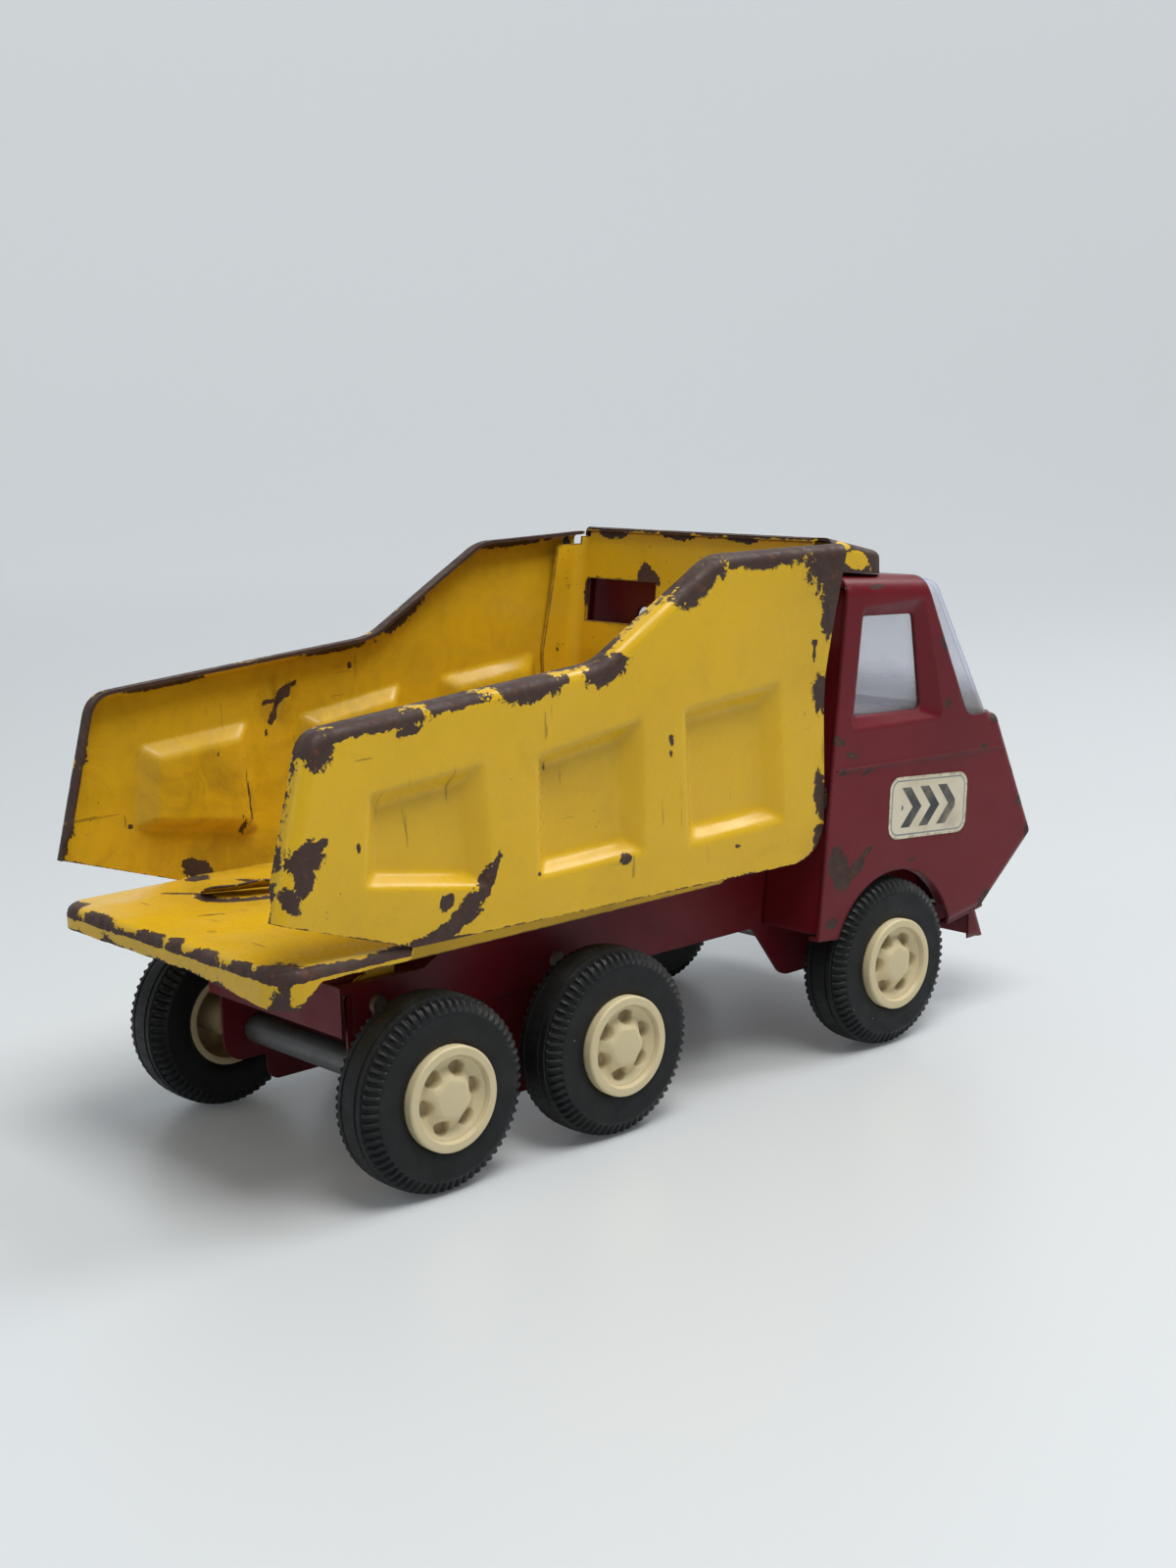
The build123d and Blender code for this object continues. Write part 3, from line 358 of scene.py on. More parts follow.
def finish(name, metallic=0.0, roughness=0.5, **sockets):
    """New material with its own Principled shader; sockets are plain values."""
    material = bpy.data.materials.new(name)
    material.use_nodes = True
    nodes = material.node_tree.nodes
    nodes.clear()
    tree = Tree(material.node_tree)
    shader = tree.add("ShaderNodeBsdfPrincipled")
    output = tree.add("ShaderNodeOutputMaterial")
    tree.tree.links.new(shader.outputs[0], output.inputs[0])
    shader.inputs["Metallic"].default_value = metallic
    shader.inputs["Roughness"].default_value = roughness
    for key, value in sockets.items():
        tree.feed(shader.inputs[key.replace("_", " ")], value)
    return material, tree, shader.inputs


def enamel(name, colour, wear, paint, ragged, chip_scale, dust, grime, depth, scuff, gloss,
           fade=(1.0, 1.0, 1.0), soften=None, soil_and_shade=False, specular=0.32):
    """Chipped enamel over brown primer. wear is a function that gives the wear from a Tree."""
    material, tree, shader = finish(name, Specular_IOR_Level=specular)
    where = tree.place()
    chips = tree.group(GROUPS["chips"], Wear=wear(tree), Ragged=ragged, Scale=chip_scale)
    dusty = tree.group(GROUPS["dust"], Amount=paint.dust * dust)["Mask"]
    marks = tree.group(GROUPS["scratches"], Amount=scuff)
    broad = tree.noise(where, 22.0, 4.0, 0.6)
    darker = tuple(c * k for c, k in zip(colour, (0.72, 0.66, 0.6)))
    lighter = tuple(min(1.0, c * 1.08 * k) for c, k in zip(colour, fade))
    coat = tree.mix(tree.remap(broad, 0.38, 0.68), lighter, tuple(colour))
    stain = tree.remap(tree.noise(where, 45.0, 7.0, 0.72, 0.8), 0.50, 0.78)
    coat = tree.mix(tree.math("MULTIPLY", stain, grime), coat, darker)
    # the soil attribute mixes in dark brown: dirt, and painted shade over the left panel's pockets
    if soil_and_shade:
        dirt = tree.remap(tree.noise(where, 75.0, 8.0, 0.75, 1.2), 0.34, 0.74, 0.12, 1.0)
        dirt = tree.math("MULTIPLY", dirt, tree.attribute("soil_and_shade"))
        coat = tree.mix(tree.math("MULTIPLY", dirt, 0.62), coat, (0.15, 0.083, 0.015))
    primer = tuple(paint.primer)
    coat = tree.mix(tree.math("MULTIPLY", marks["Mask"], 0.55), coat, primer)
    coat = tree.mix(marks["Specks"], coat, primer)
    bare = tree.mix(tree.noise(where, 300.0, 5.0, 0.7), primer, tuple(c * 2.1 for c in primer))
    bare = tree.mix(chips["Rust"], bare, tuple(paint.rust))
    chip = chips["Chip"]
    colour_now = tree.mix(chip, coat, bare)
    # pale band of enamel just outside each chip: a painted highlight on the chip's raised edge
    pale = tree.math("MULTIPLY", tree.math("SUBTRACT", chips["Lip Highlight"], chip, clamp=True), 0.35)
    colour_now = tree.mix(pale, colour_now, lighter)
    colour_now = tree.mix(tree.math("MULTIPLY", dusty, 0.55), colour_now, (0.34, 0.30, 0.25))
    tree.feed(shader["Base Color"], colour_now)
    rough = tree.remap(tree.noise(where, 90.0, 5.0, 0.65), 0.3, 0.75, gloss, gloss + 0.16)
    rough = tree.math("ADD", rough, tree.math("MULTIPLY", dusty, 0.4))
    bare_rough = tree.remap(tree.noise(where, 500.0, 4.0), 0.3, 0.7, 0.42, 0.74)
    bare_rough = tree.math("MULTIPLY", bare_rough, chip)
    rough = tree.math("MULTIPLY", rough, tree.math("SUBTRACT", 1.0, chip))
    tree.feed(shader["Roughness"], tree.math("ADD", rough, bare_rough, clamp=True))
    peel = tree.math("MULTIPLY", tree.noise(where, 420.0, 2.0, 0.5), 0.10)
    height = tree.math("ADD", chips["Height"], peel)
    height = tree.math("SUBTRACT", height, tree.math("MULTIPLY", marks["Mask"], 0.2))
    rounded = tree.group(GROUPS["edges"], Radius=soften)["Rounded"] if soften else None
    tree.feed(shader["Normal"], tree.bump(height, 0.8, depth, rounded))
    return material


def blobs(tree, spots, across="X", beyond=0.0):
    """Wear that is highest in the middle of each ellipse.

    A spot is its x or y, z, half length, half height and turn. Only faces further from the
    truck's middle than beyond are worn.
    """
    where = tree.add("ShaderNodeSeparateXYZ", {"Vector": tree.place()}).outputs
    best = None
    for x, z, long, high, turn in spots:
        dx = tree.math("SUBTRACT", where[across], x * MM + (REAR_X if across == "X" else 0.0))
        dz = tree.math("SUBTRACT", where["Z"], z * MM)
        cos, sin = math.cos(turn), math.sin(turn)
        long, high = long * MM, high * MM
        u = tree.math("MULTIPLY_ADD", dx, cos / long, tree.math("MULTIPLY", dz, sin / long))
        v = tree.math("MULTIPLY_ADD", dz, cos / high, tree.math("MULTIPLY", dx, -sin / high))
        squares = tree.math("ADD", tree.math("MULTIPLY", u, u), tree.math("MULTIPLY", v, v))
        far = tree.math("SQRT", squares)
        near = tree.math("SUBTRACT", 1.0, far)
        best = near if best is None else tree.math("MAXIMUM", best, near)
    if beyond:
        side = tree.math("SUBTRACT", tree.math("ABSOLUTE", where["Y"]), beyond * MM)
        best = tree.math("MINIMUM", best, tree.math("MULTIPLY", side, 1 / MM))
    return best


def steel(name, colour, roughness, grain, rust_share, paint):
    """Old bare steel with turning marks along one axis and brown spots."""
    material, tree, shader = finish(name, metallic=0.85, roughness=roughness)
    where = tree.place()
    lines = tree.noise(tree.stretch(where, grain), 1.0, 4.0, 0.6)
    patch = tree.noise(where, 160.0, 6.0, 0.7)
    tone = tree.mix(lines, tuple(c * 0.7 for c in colour), tuple(min(1, c * 1.25) for c in colour))
    rusty = tree.remap(patch, 0.72 - rust_share * 0.4, 0.80)
    tree.feed(shader["Base Color"], tree.mix(rusty, tone, tuple(paint.rust)))
    tree.feed(shader["Metallic"], tree.remap(rusty, 0.0, 1.0, 0.85, 0.1))
    tree.feed(shader["Roughness"], tree.remap(patch, 0.3, 0.7, roughness - 0.08, roughness + 0.2))
    tree.feed(shader["Normal"], tree.bump(tree.math("ADD", lines, patch), 0.5, 0.00006))
    return material


def rubber(name, paint):
    """Black rubber, greyed by dust, with a fine moulded grain."""
    material, tree, shader = finish(name, Specular_IOR_Level=0.32)
    where = tree.place()
    grime = tree.group(GROUPS["dust"], Amount=paint.dust)["Mask"]
    bloom = tree.remap(tree.noise(where, 110.0, 6.0, 0.7), 0.4, 0.8)
    base = tree.mix(bloom, tuple(paint.rubber), tuple(c * 2.3 for c in paint.rubber))
    lint = tree.remap(tree.cells(where, 330.0), 0.055, 0.03)
    lint = tree.math("MULTIPLY", lint, tree.remap(tree.noise(where, 70.0, 2.0), 0.53, 0.62))
    base = tree.mix(tree.math("MULTIPLY", grime, 0.34), base, (0.12, 0.105, 0.085))
    base = tree.mix(tree.math("MULTIPLY", lint, 0.8), base, (0.42, 0.36, 0.27))
    tree.feed(shader["Base Color"], base)
    rough = tree.remap(tree.noise(where, 240.0, 4.0), 0.3, 0.7, 0.44, 0.60)
    rough = tree.math("ADD", rough, tree.math("MULTIPLY", grime, 0.5), clamp=True)
    tree.feed(shader["Roughness"], rough)
    fine = tree.noise(where, 1500.0, 3.0, 0.6)
    tree.feed(shader["Normal"], tree.bump(tree.math("ADD", fine, lint), 0.5, 0.00005))
    return material


def moulded(name, paint):
    """Cream moulded plastic with brown dirt in its hollows."""
    material, tree, shader = finish(name, Specular_IOR_Level=0.45, Subsurface_Weight=0.08,
                                    Subsurface_Radius=(0.004, 0.003, 0.0015), Subsurface_Scale=0.6)
    where = tree.place()
    cream = tuple(paint.cream)
    hollow = tree.remap(tree.attribute("hollow"), 0.0, 1.0)
    tone = tree.mix(tree.noise(where, 80.0, 4.0, 0.6), cream, tuple(c * 0.90 for c in cream))
    spots = tree.remap(tree.cells(where, 210.0), 0.10, 0.02)
    spots = tree.math("MULTIPLY", spots, tree.remap(tree.noise(where, 120.0, 2.0), 0.52, 0.6))
    spots = tree.math("MULTIPLY", spots, 0.5)
    dirt = tree.math("ADD", tree.math("MULTIPLY", hollow, 0.50), spots, clamp=True)
    tree.feed(shader["Base Color"], tree.mix(dirt, tone, (0.30, 0.20, 0.10)))
    rough = tree.remap(tree.noise(where, 260.0, 4.0), 0.3, 0.7, 0.34, 0.50)
    tree.feed(shader["Roughness"], rough)
    tree.feed(shader["Normal"], tree.bump(tree.noise(where, 900.0, 3.0), 0.25, 0.00005))
    return material


def clear_sheet(name, tint, rim_tint):
    """Clear plastic sheet, dusty towards its lower edge."""
    material, tree, shader = finish(name, roughness=0.06, Transmission_Weight=0.0, IOR=1.46)
    where = tree.place()
    high = tree.add("ShaderNodeSeparateXYZ", {"Vector": where}).outputs["Z"]
    ripple = tree.noise(where, 70.0, 3.0, 0.6)
    foot = tree.math("MULTIPLY_ADD", ripple, 0.004, high)
    dusty = tree.remap(foot, 93.5 * MM, 82.0 * MM)
    film = tree.remap(tree.noise(where, 40.0, 4.0, 0.6), 0.3, 0.8, 0.0, 0.07)
    edge = tree.add("ShaderNodeLayerWeight", {"Blend": 0.5}).outputs["Facing"]
    tinted = tree.mix(tree.remap(edge, 0.55, 0.97), tint, rim_tint)
    tree.feed(shader["Base Color"], tree.mix(dusty, tinted, (0.30, 0.29, 0.29)))
    thick = tree.remap(edge, 0.45, 0.98, 0.15, 0.80)
    cover = tree.math("ADD", thick, film)
    cover = tree.math("ADD", cover, tree.math("MULTIPLY", dusty, 0.34), clamp=True)
    tree.feed(shader["Alpha"], cover)
    tree.feed(shader["Roughness"], tree.remap(dusty, 0.0, 1.0, 0.07, 0.42))
    return material


def print_film(name):
    """Printed door label: cream ground, dark frame line and three plain chevrons."""
    material, tree, shader = finish(name, roughness=0.4)
    print_at = tree.add("ShaderNodeAttribute", attribute_name="label").outputs["Vector"]
    print_at = tree.add("ShaderNodeSeparateXYZ", {"Vector": print_at}).outputs
    u, v = print_at["X"], print_at["Y"]
    where = tree.place()
    cream, dark, bar = (0.70, 0.63, 0.47), (0.030, 0.034, 0.042), (0.20, 0.23, 0.26)
    slant = tree.math("MULTIPLY_ADD", tree.math("ABSOLUTE", v), 0.9, u)
    wave = tree.math("MODULO", tree.math("ADD", slant, 2.0), 0.46)
    stripe = tree.math("MULTIPLY", tree.remap(wave, 0.20, 0.22), tree.remap(wave, 0.45, 0.43))
    inside_u = tree.remap(tree.math("ABSOLUTE", u), 0.70, 0.68)
    inside_v = tree.remap(tree.math("ABSOLUTE", v), 0.33, 0.315)
    window = tree.math("MULTIPLY", inside_u, inside_v)
    face = tree.mix(tree.math("MULTIPLY", stripe, window), cream, dark)
    line = tree.attribute("label_edge")
    ring = tree.math("MULTIPLY", tree.remap(line, 0.10, 0.115), tree.remap(line, 0.165, 0.15))
    face = tree.mix(ring, face, bar)
    worn = tree.noise(where, 420.0, 5.0, 0.7)
    worn = tree.remap(tree.math("SUBTRACT", worn, tree.math("MULTIPLY", line, 1.3)), 0.42, 0.5)
    face = tree.mix(tree.math("MULTIPLY", worn, 0.7), face, (0.34, 0.26, 0.17))
    aged = tree.remap(tree.noise(where, 90.0, 5.0), 0.4, 0.9)
    tree.feed(shader["Base Color"], tree.mix(aged, face, (0.45, 0.38, 0.26)))
    rough = tree.remap(tree.noise(where, 300.0, 3.0), 0.3, 0.7, 0.34, 0.55)
    tree.feed(shader["Roughness"], rough)
    tree.feed(shader["Normal"], tree.bump(tree.noise(where, 700.0, 3.0), 0.2, 0.00004))
    return material


MATERIALS = {}
# worn spots: x (or y for the windows), z, half length, half height, turn
CAB_SPOTS = [
    (120.2, 79.0, 3.6, 1.0, -0.4), (126.0, 74.6, 2.6, 0.7, -0.2), (131.5, 69.8, 2.2, 0.5, 0.3),
    (122.8, 70.8, 1.3, 0.9, 0.0), (121.0, 47.6, 3.4, 5.6, 0.35), (126.5, 46.4, 5.2, 1.7, 0.6),
    (130.6, 49.8, 3.0, 0.9, 0.5), (196.2, 45.0, 2.8, 3.0, 0.0), (191.8, 54.0, 1.7, 1.3, 0.0),
    (188.6, 62.6, 1.2, 1.4, 0.3), (181.8, 77.0, 2.6, 1.4, 0.0), (176.4, 70.2, 2.0, 0.6, 0.0),
    (162.0, 82.8, 1.2, 1.2, 0.0), (160.2, 98.0, 0.9, 1.8, 0.4), (136.0, 114.0, 2.6, 0.6, 0.0),
    (118.4, 34.6, 2.2, 1.2, 0.0), (176.8, 30.6, 2.6, 1.4, 0.6), (148.0, 45.4, 1.4, 0.5, 0.0),
    (184.0, 33.2, 2.6, 0.8, 0.7),
]
CAB_SIDE = 44.0     # the cab's spots lie further than this from its middle
BULKHEAD_SPOTS = [(119.6, 126.9, 2.2, 1.1, 0.0), (112.4, 60.0, 1.4, 1.0, 0.0)]
CANOPY_PATCHES = [(130.5, 120.6, 5.2, 2.6, -0.2), (126.0, 124.4, 3.0, 1.2, -0.2)]
WINDOW_TEARS = [
    (15.5, 114.6, 4.2, 2.6, 0.5), (17.0, 101.6, 5.2, 1.6, 0.1), (38.4, 110.0, 1.2, 3.4, 0.0),
    (30.0, 125.4, 5.0, 1.6, 0.0), (6.0, 125.8, 6.4, 1.5, 0.0), (-16.0, 125.6, 5.0, 1.3, 0.0),
]


class TRUCK_OT_finishes(bpy.types.Operator):
    """Make every finish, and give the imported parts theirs"""

    bl_idname = "truck.finishes"
    bl_label = "Paint and Finishes"

    def execute(self, context):
        paint = context.scene.truck_paint
        GROUPS.update(chips=chip_group(), edges=edge_group(), dust=dust_group(),
                      scratches=scratch_group())

        def edge_wear(radius, gain, bias, spots=(), beyond=0.0):
            def wear(tree):
                sharp = tree.group(GROUPS["edges"], Radius=radius)["Wear"]
                field = tree.math("MULTIPLY_ADD", sharp, gain, bias)
                if spots:
                    worn = tree.math("MULTIPLY", blobs(tree, spots, "X", beyond), 1.2)
                    field = tree.math("MAXIMUM", field, worn)
                return field
            return wear

        def sheet_wear(tree):
            return tree.attribute("wear")

        def bulkhead_wear(tree):
            field = edge_wear(0.0010, 0.8, -0.42, BULKHEAD_SPOTS)(tree)
            torn = tree.math("MULTIPLY", blobs(tree, WINDOW_TEARS, "Y"), 1.1)
            field = tree.math("MAXIMUM", field, torn)
            # the canopy's top is bare but for its patches
            x = tree.add("ShaderNodeSeparateXYZ", {"Vector": tree.place()}).outputs["X"]
            canopy = tree.remap(x, REAR_X + 121.2 * MM, REAR_X + 121.9 * MM, -1.0, 0.34)
            kept = tree.math("MAXIMUM", blobs(tree, CANOPY_PATCHES), 0.0)
            canopy = tree.math("SUBTRACT", canopy, tree.math("MULTIPLY", kept, 2.2))
            return tree.math("MAXIMUM", field, canopy)

        yellow, maroon = tuple(paint.yellow), tuple(paint.maroon)
        cab_wear = edge_wear(0.0009, 0.42, -0.46, CAB_SPOTS, CAB_SIDE)
        MATERIALS.update(
            bed_sheet=enamel(
                "Bed Enamel", yellow, sheet_wear, paint, ragged=0.80, chip_scale=330.0, dust=0.7,
                grime=0.40, depth=0.00016, scuff=0.85, gloss=0.19, soil_and_shade=True),
            bed_welded=enamel(
                "Bulkhead Enamel", yellow, bulkhead_wear, paint, ragged=0.8, chip_scale=300.0,
                dust=0.8, grime=0.5, depth=0.00014, scuff=0.7, gloss=0.26),
            bed_under=enamel(
                "Underside Enamel", yellow, edge_wear(0.0008, 0.6, -0.40), paint, ragged=0.55,
                chip_scale=240.0, dust=1.2, grime=0.9, depth=0.00012, scuff=0.5, gloss=0.34),
            cab=enamel(
                "Cab Enamel", maroon, cab_wear, paint, ragged=0.62, chip_scale=420.0, dust=0.30,
                grime=0.30, depth=0.00007, scuff=0.45, gloss=0.27, fade=(1.12, 1.2, 1.15),
                soften=0.0013, specular=0.24),
            chassis=enamel(
                "Chassis Enamel", maroon, edge_wear(0.0008, 0.60, -0.40), paint, ragged=0.6,
                chip_scale=330.0, dust=0.75, grime=0.6, depth=0.00010, scuff=0.5, gloss=0.33,
                fade=(1.1, 1.2, 1.1), specular=0.22),
            rivets=steel("Rivet Steel", (0.22, 0.19, 0.17), 0.45, (300, 300, 300), 0.6, paint),
            tube=steel("Tube Steel", (0.20, 0.20, 0.20), 0.50, (900, 60, 900), 0.35, paint),
            axle=steel("Axle Steel", (0.34, 0.33, 0.32), 0.32, (900, 60, 900), 0.25, paint),
            rubber=rubber("Tyre Rubber", paint),
            cream=moulded("Hub Plastic", paint),
            clear=clear_sheet("Clear Plastic", (0.66, 0.67, 0.82), (0.13, 0.17, 0.55)),
            label=print_film("Door Label Print"),
        )
        by_node = {
            "bed_bulkhead": "bed_welded", "bed_subframe": "bed_under", "chassis_frame": "chassis",
            "bogie_bracket": "chassis", "front_bumper": "chassis", "cab_shell": "cab",
            "cab_rear_wall": "cab", "windshield": "clear", "right_window_pane": "clear",
            "left_window_pane": "clear", "rear_spacer_tube": "tube", "mid_spacer_tube": "tube",
            "hinge_pin": "rivets", "bogie_rivets": "rivets", "cab_rivets": "rivets",
            "bumper_rivets": "rivets", "rear_axle": "axle", "mid_axle": "axle",
            "front_axle": "axle",
        }
        for node, name in by_node.items():
            cad = frame["nodes"][node]
            cad.data.materials.clear()
            cad.data.materials.append(MATERIALS[name])
        return {"FINISHED"}


# ---- meshes ------------------------------------------------------------------------
def smooth_mesh(name, points, faces, material):
    """Object from points in millimetres from the rear axle's place on the ground."""
    data = bpy.data.meshes.new(name)
    co = np.asarray(points, float) * MM
    co[:, 0] += REAR_X
    data.from_pydata(co.tolist(), [], [tuple(int(i) for i in face) for face in faces])
    data.validate()
    data.update()
    data.polygons.foreach_set("use_smooth", [True] * len(data.polygons))
    data.materials.append(material)
    made = bpy.data.objects.new(name, data)
    bpy.context.scene.collection.objects.link(made)
    return made


def add_values(piece, name, values):
    """Store one number per point on a mesh."""
    layer = piece.data.attributes.new(name, "FLOAT", "POINT")
    layer.data.foreach_set("value", np.asarray(values, np.float32))


def apply_all(piece):
    """Turn a piece's modifiers into its mesh."""
    bpy.context.view_layer.update()
    shaped = piece.evaluated_get(bpy.context.evaluated_depsgraph_get())
    done = bpy.data.meshes.new_from_object(shaped)
    piece.modifiers.clear()
    piece.data = done


def thicken(piece, thickness, offset, even=False):
    """Give a sheet its thickness."""
    plate = piece.modifiers.new("sheet", "SOLIDIFY")
    plate.thickness = thickness
    plate.offset = offset
    plate.use_even_offset = even
    apply_all(piece)


def grid_faces(rows, columns, closed=False):
    """Quads of a grid whose points run row by row."""
    faces = []
    for r in range(rows - 1):
        for c in range(columns if closed else columns - 1):
            d = (c + 1) % columns
            low, high = r * columns, (r + 1) * columns
            faces.append((low + c, low + d, high + d, high + c))
    return faces


def strip_faces(loop, first, steps):
    """Quads of strips that go on from a mesh's edge; their points start at first."""
    faces = []
    count = len(loop)
    for k in range(steps):
        near = loop if k == 0 else list(range(first + (k - 1) * count, first + k * count))
        far = list(range(first + k * count, first + (k + 1) * count))
        faces += [(far[c], far[c + 1], near[c + 1], near[c]) for c in range(count - 1)]
    return faces


def spread(path, marks):
    """Points at given distances along a path of points."""
    path = np.asarray(path, float)
    steps = np.hypot(*np.diff(path, axis=0).T)
    along = np.concatenate([[0], np.cumsum(steps)])
    return np.stack([np.interp(marks, along, path[:, k]) for k in (0, 1)], 1), along[-1]


def rounded_path(points, radii, steps=14):
    """Path through points with its corners rounded to arcs."""
    out = [np.asarray(points[0], float)]
    for before, corner, after, radius in zip(points, points[1:], points[2:], radii):
        b, c, a = (np.asarray(p, float) for p in (before, corner, after))
        u, v = (b - c) / np.linalg.norm(b - c), (a - c) / np.linalg.norm(a - c)
        half = math.acos(float(np.clip(u @ v, -1, 1))) / 2
        reach = radius / math.tan(half)
        start, stop = c + u * reach, c + v * reach
        for k in range(steps + 1):
            t = k / steps
            bow = (1 - t) ** 2 * start + 2 * t * (1 - t) * c + t * t * stop
            out.append(bow)
    out.append(np.asarray(points[-1], float))
    return np.array(out)


def distance_to(path, xz):
    """Distance of each point from a path, and how far along the path its nearest place is."""
    a, b = path[:-1], path[1:]
    run = b - a
    length = np.maximum((run**2).sum(1), 1e-9)
    along = np.concatenate([[0], np.cumsum(np.sqrt(length))])[:-1]
    best = np.full(len(xz), 1e9)
    where = np.zeros(len(xz))
    for k in range(len(a)):
        t = np.clip(((xz - a[k]) @ run[k]) / length[k], 0, 1)
        gap = np.hypot(*(xz - a[k] - t[:, None] * run[k]).T)
        nearer = gap < best
        best[nearer] = gap[nearer]
        where[nearer] = (along[k] + t * math.sqrt(length[k]))[nearer]
    return best, where


def ellipse_wear(x, z, spots):
    """Largest of 1 minus the scaled distance from each ellipse's middle."""
    best = np.full(len(x), -9.0)
    for cx, cz, long, high, turn in spots:
        dx, dz = x - cx, z - cz
        cos, sin = math.cos(turn), math.sin(turn)
        u, v = (dx * cos + dz * sin) / long, (dz * cos - dx * sin) / high
        best = np.maximum(best, 1 - np.hypot(u, v))
    return best


def soft_noise(points, scale, seed):
    """Smooth noise from -1 to 1 at points in millimetres."""
    shift = Vector((seed * 17.3, seed * 5.1, seed * 9.7))
    return np.array([noise.noise(Vector(p) / scale + shift) for p in points])


# ---- side panels -------------------------------------------------------------------
# outlines as points (x, z), in millimetres from the rear axle and the ground
REAR_CORNER = (-27.6, 99.6)
TOP_LINE = [(-37.4, 63.8), REAR_CORNER, (48.4, 104.9), (83.8, 125.2), (121.6, 125.2)]
FOOT_LINE = [(-37.4, 63.8), (-5.2, 53.2), (105.0, 51.1), (117.5, 51.1), (117.5, 64.0)]
PANEL_FRONT, FRONT_LEAN = 117.5, 4.1    # front edge, and how far its top leans forward
PANEL_ROWS, PANEL_COLUMNS = 78, 236
# distances from the rim at which rows and columns lie, close together where it bends
RIM_MARKS = np.array([0.0, 0.06, 0.22, 0.5, 0.86, 1.3, 1.8, 2.3, 2.9])
RIM_STEPS = (0.34, 0.67, 1.0)           # shares of the rim's flat part
POCKET_SHARP, POCKET_SOFT = 12.0, 0.12  # how tight the pockets' corners and slope ends are
# corners of each pocket's mouth and of its flat bottom
POCKETS = [
    ([(-16.6, 67.6), (-14.4, 85.6), (14.2, 87.8), (15.4, 62.0)],
     [(-12.6, 70.6), (-9.8, 82.6), (9.8, 84.2), (10.4, 64.6)]),
    ([(28.4, 61.8), (29.2, 87.4), (58.8, 91.4), (58.6, 62.4)],
     [(32.0, 64.8), (33.4, 84.6), (54.6, 87.6), (54.8, 64.8)]),
    ([(72.4, 61.8), (71.8, 91.8), (102.4, 94.2), (103.4, 62.6)],
     [(76.2, 64.6), (76.2, 88.8), (98.2, 90.6), (99.2, 65.2)]),
]
# chips on each panel: centre x and z, half length, half height, turn
PANEL_CHIPS = {
    "right": [
        (-30.2, 75.6, 4.6, 3.2, 0.5), (-30.8, 71.6, 2.6, 3.8, -0.3), (-27.2, 77.6, 2.4, 0.9, 0.3),
        (-12.5, 99.4, 14.0, 1.9, 0.06), (-26.4, 96.6, 3.2, 4.6, 0.3),
        (8.0, 101.3, 7.5, 1.5, 0.05), (27.6, 102.0, 9.2, 2.9, 0.05), (48.6, 103.2, 6.6, 2.7, 0.28),
        (77.6, 119.6, 8.6, 3.2, 0.5), (98.0, 124.4, 15.0, 3.0, 0.0), (116.6, 121.2, 6.4, 8.4, 0.2),
        (118.2, 111.0, 3.0, 8.4, 0.0), (116.0, 90.6, 2.9, 4.6, 0.1), (113.2, 102.8, 0.9, 0.9, 0.0),
        (113.4, 100.6, 0.5, 1.8, 0.0), (116.2, 66.0, 2.2, 7.0, 0.1), (115.6, 57.0, 2.0, 3.0, 0.0),
        (2.0, 54.8, 11.5, 1.6, 0.30), (9.0, 58.8, 6.0, 2.4, 0.6), (14.6, 63.4, 4.8, 1.6, 1.0),
        (17.0, 67.0, 2.4, 0.8, 1.1), (3.4, 60.8, 2.2, 1.7, 0.4), (-2.0, 53.8, 7.0, 1.1, 0.0),
        (53.6, 61.6, 1.9, 1.1, 0.2),
        (67.6, 85.9, 0.7, 1.5, 0.2), (67.4, 82.8, 0.5, 0.9, 0.0), (-17.7, 75.8, 0.5, 1.1, 0.0),
        (33.0, 84.6, 0.4, 1.6, 0.3), (-4.8, 97.0, 3.4, 1.0, 0.1), (28.6, 62.4, 0.7, 0.5, 0.0),
        (88.0, 58.6, 0.8, 0.5, 0.0), (-33.8, 67.6, 1.8, 3.4, 0.3),
    ],
    "left": [
        (-30.4, 92.0, 2.4, 7.6, 0.28), (-34.4, 74.0, 1.8, 6.4, 0.28), (-36.4, 66.0, 2.2, 3.0, 0.2),
        (24.4, 93.2, 3.4, 1.2, 0.9), (22.0, 89.6, 1.2, 3.4, -0.4), (20.6, 92.0, 1.6, 0.7, 0.2),
        (19.4, 84.6, 0.5, 1.2, 0.2), (28.0, 95.6, 1.0, 0.6, 0.6), (-18.0, 68.0, 0.7, 0.6, 0.0),
        (4.0, 82.0, 0.4, 0.5, 0.0), (44.0, 98.0, 0.6, 0.9, 0.4), (-1.6, 55.6, 4.4, 2.2, -0.3),
        (12.0, 70.8, 0.5, 6.2, 0.1), (10.6, 63.8, 0.8, 2.6, 0.3), (118.6, 116.0, 1.7, 9.0, 0.1),
        (117.0, 96.0, 1.1, 10.0, 0.0), (60.6, 108.6, 8.0, 2.0, 0.5), (40.0, 102.8, 10.0, 1.2, 0.05),
        (96.0, 124.4, 14.0, 1.4, 0.0), (70.0, 80.0, 0.5, 4.4, 0.5), (-6.0, 99.6, 12.0, 1.0, 0.05),
    ],
}
# rusty dirt around the tears, and on the left panel painted shade over its three pockets: centre x
# and z, half length, half height, turn
PANEL_SOIL_AND_SHADE = {
    "right": [(10.0, 60.0, 12.0, 6.0, 0.6)],
    "left": [(23.0, 91.0, 7.0, 8.0, 0.0), (12.0, 70.0, 5.0, 13.0, 0.0),
             (-1.0, 57.0, 12.0, 6.0, 0.0), (44.0, 76.0, 22.0, 20.0, 0.0),
             (88.0, 76.0, 22.0, 20.0, 0.0), (0.0, 74.0, 20.0, 14.0, 0.0)],
}


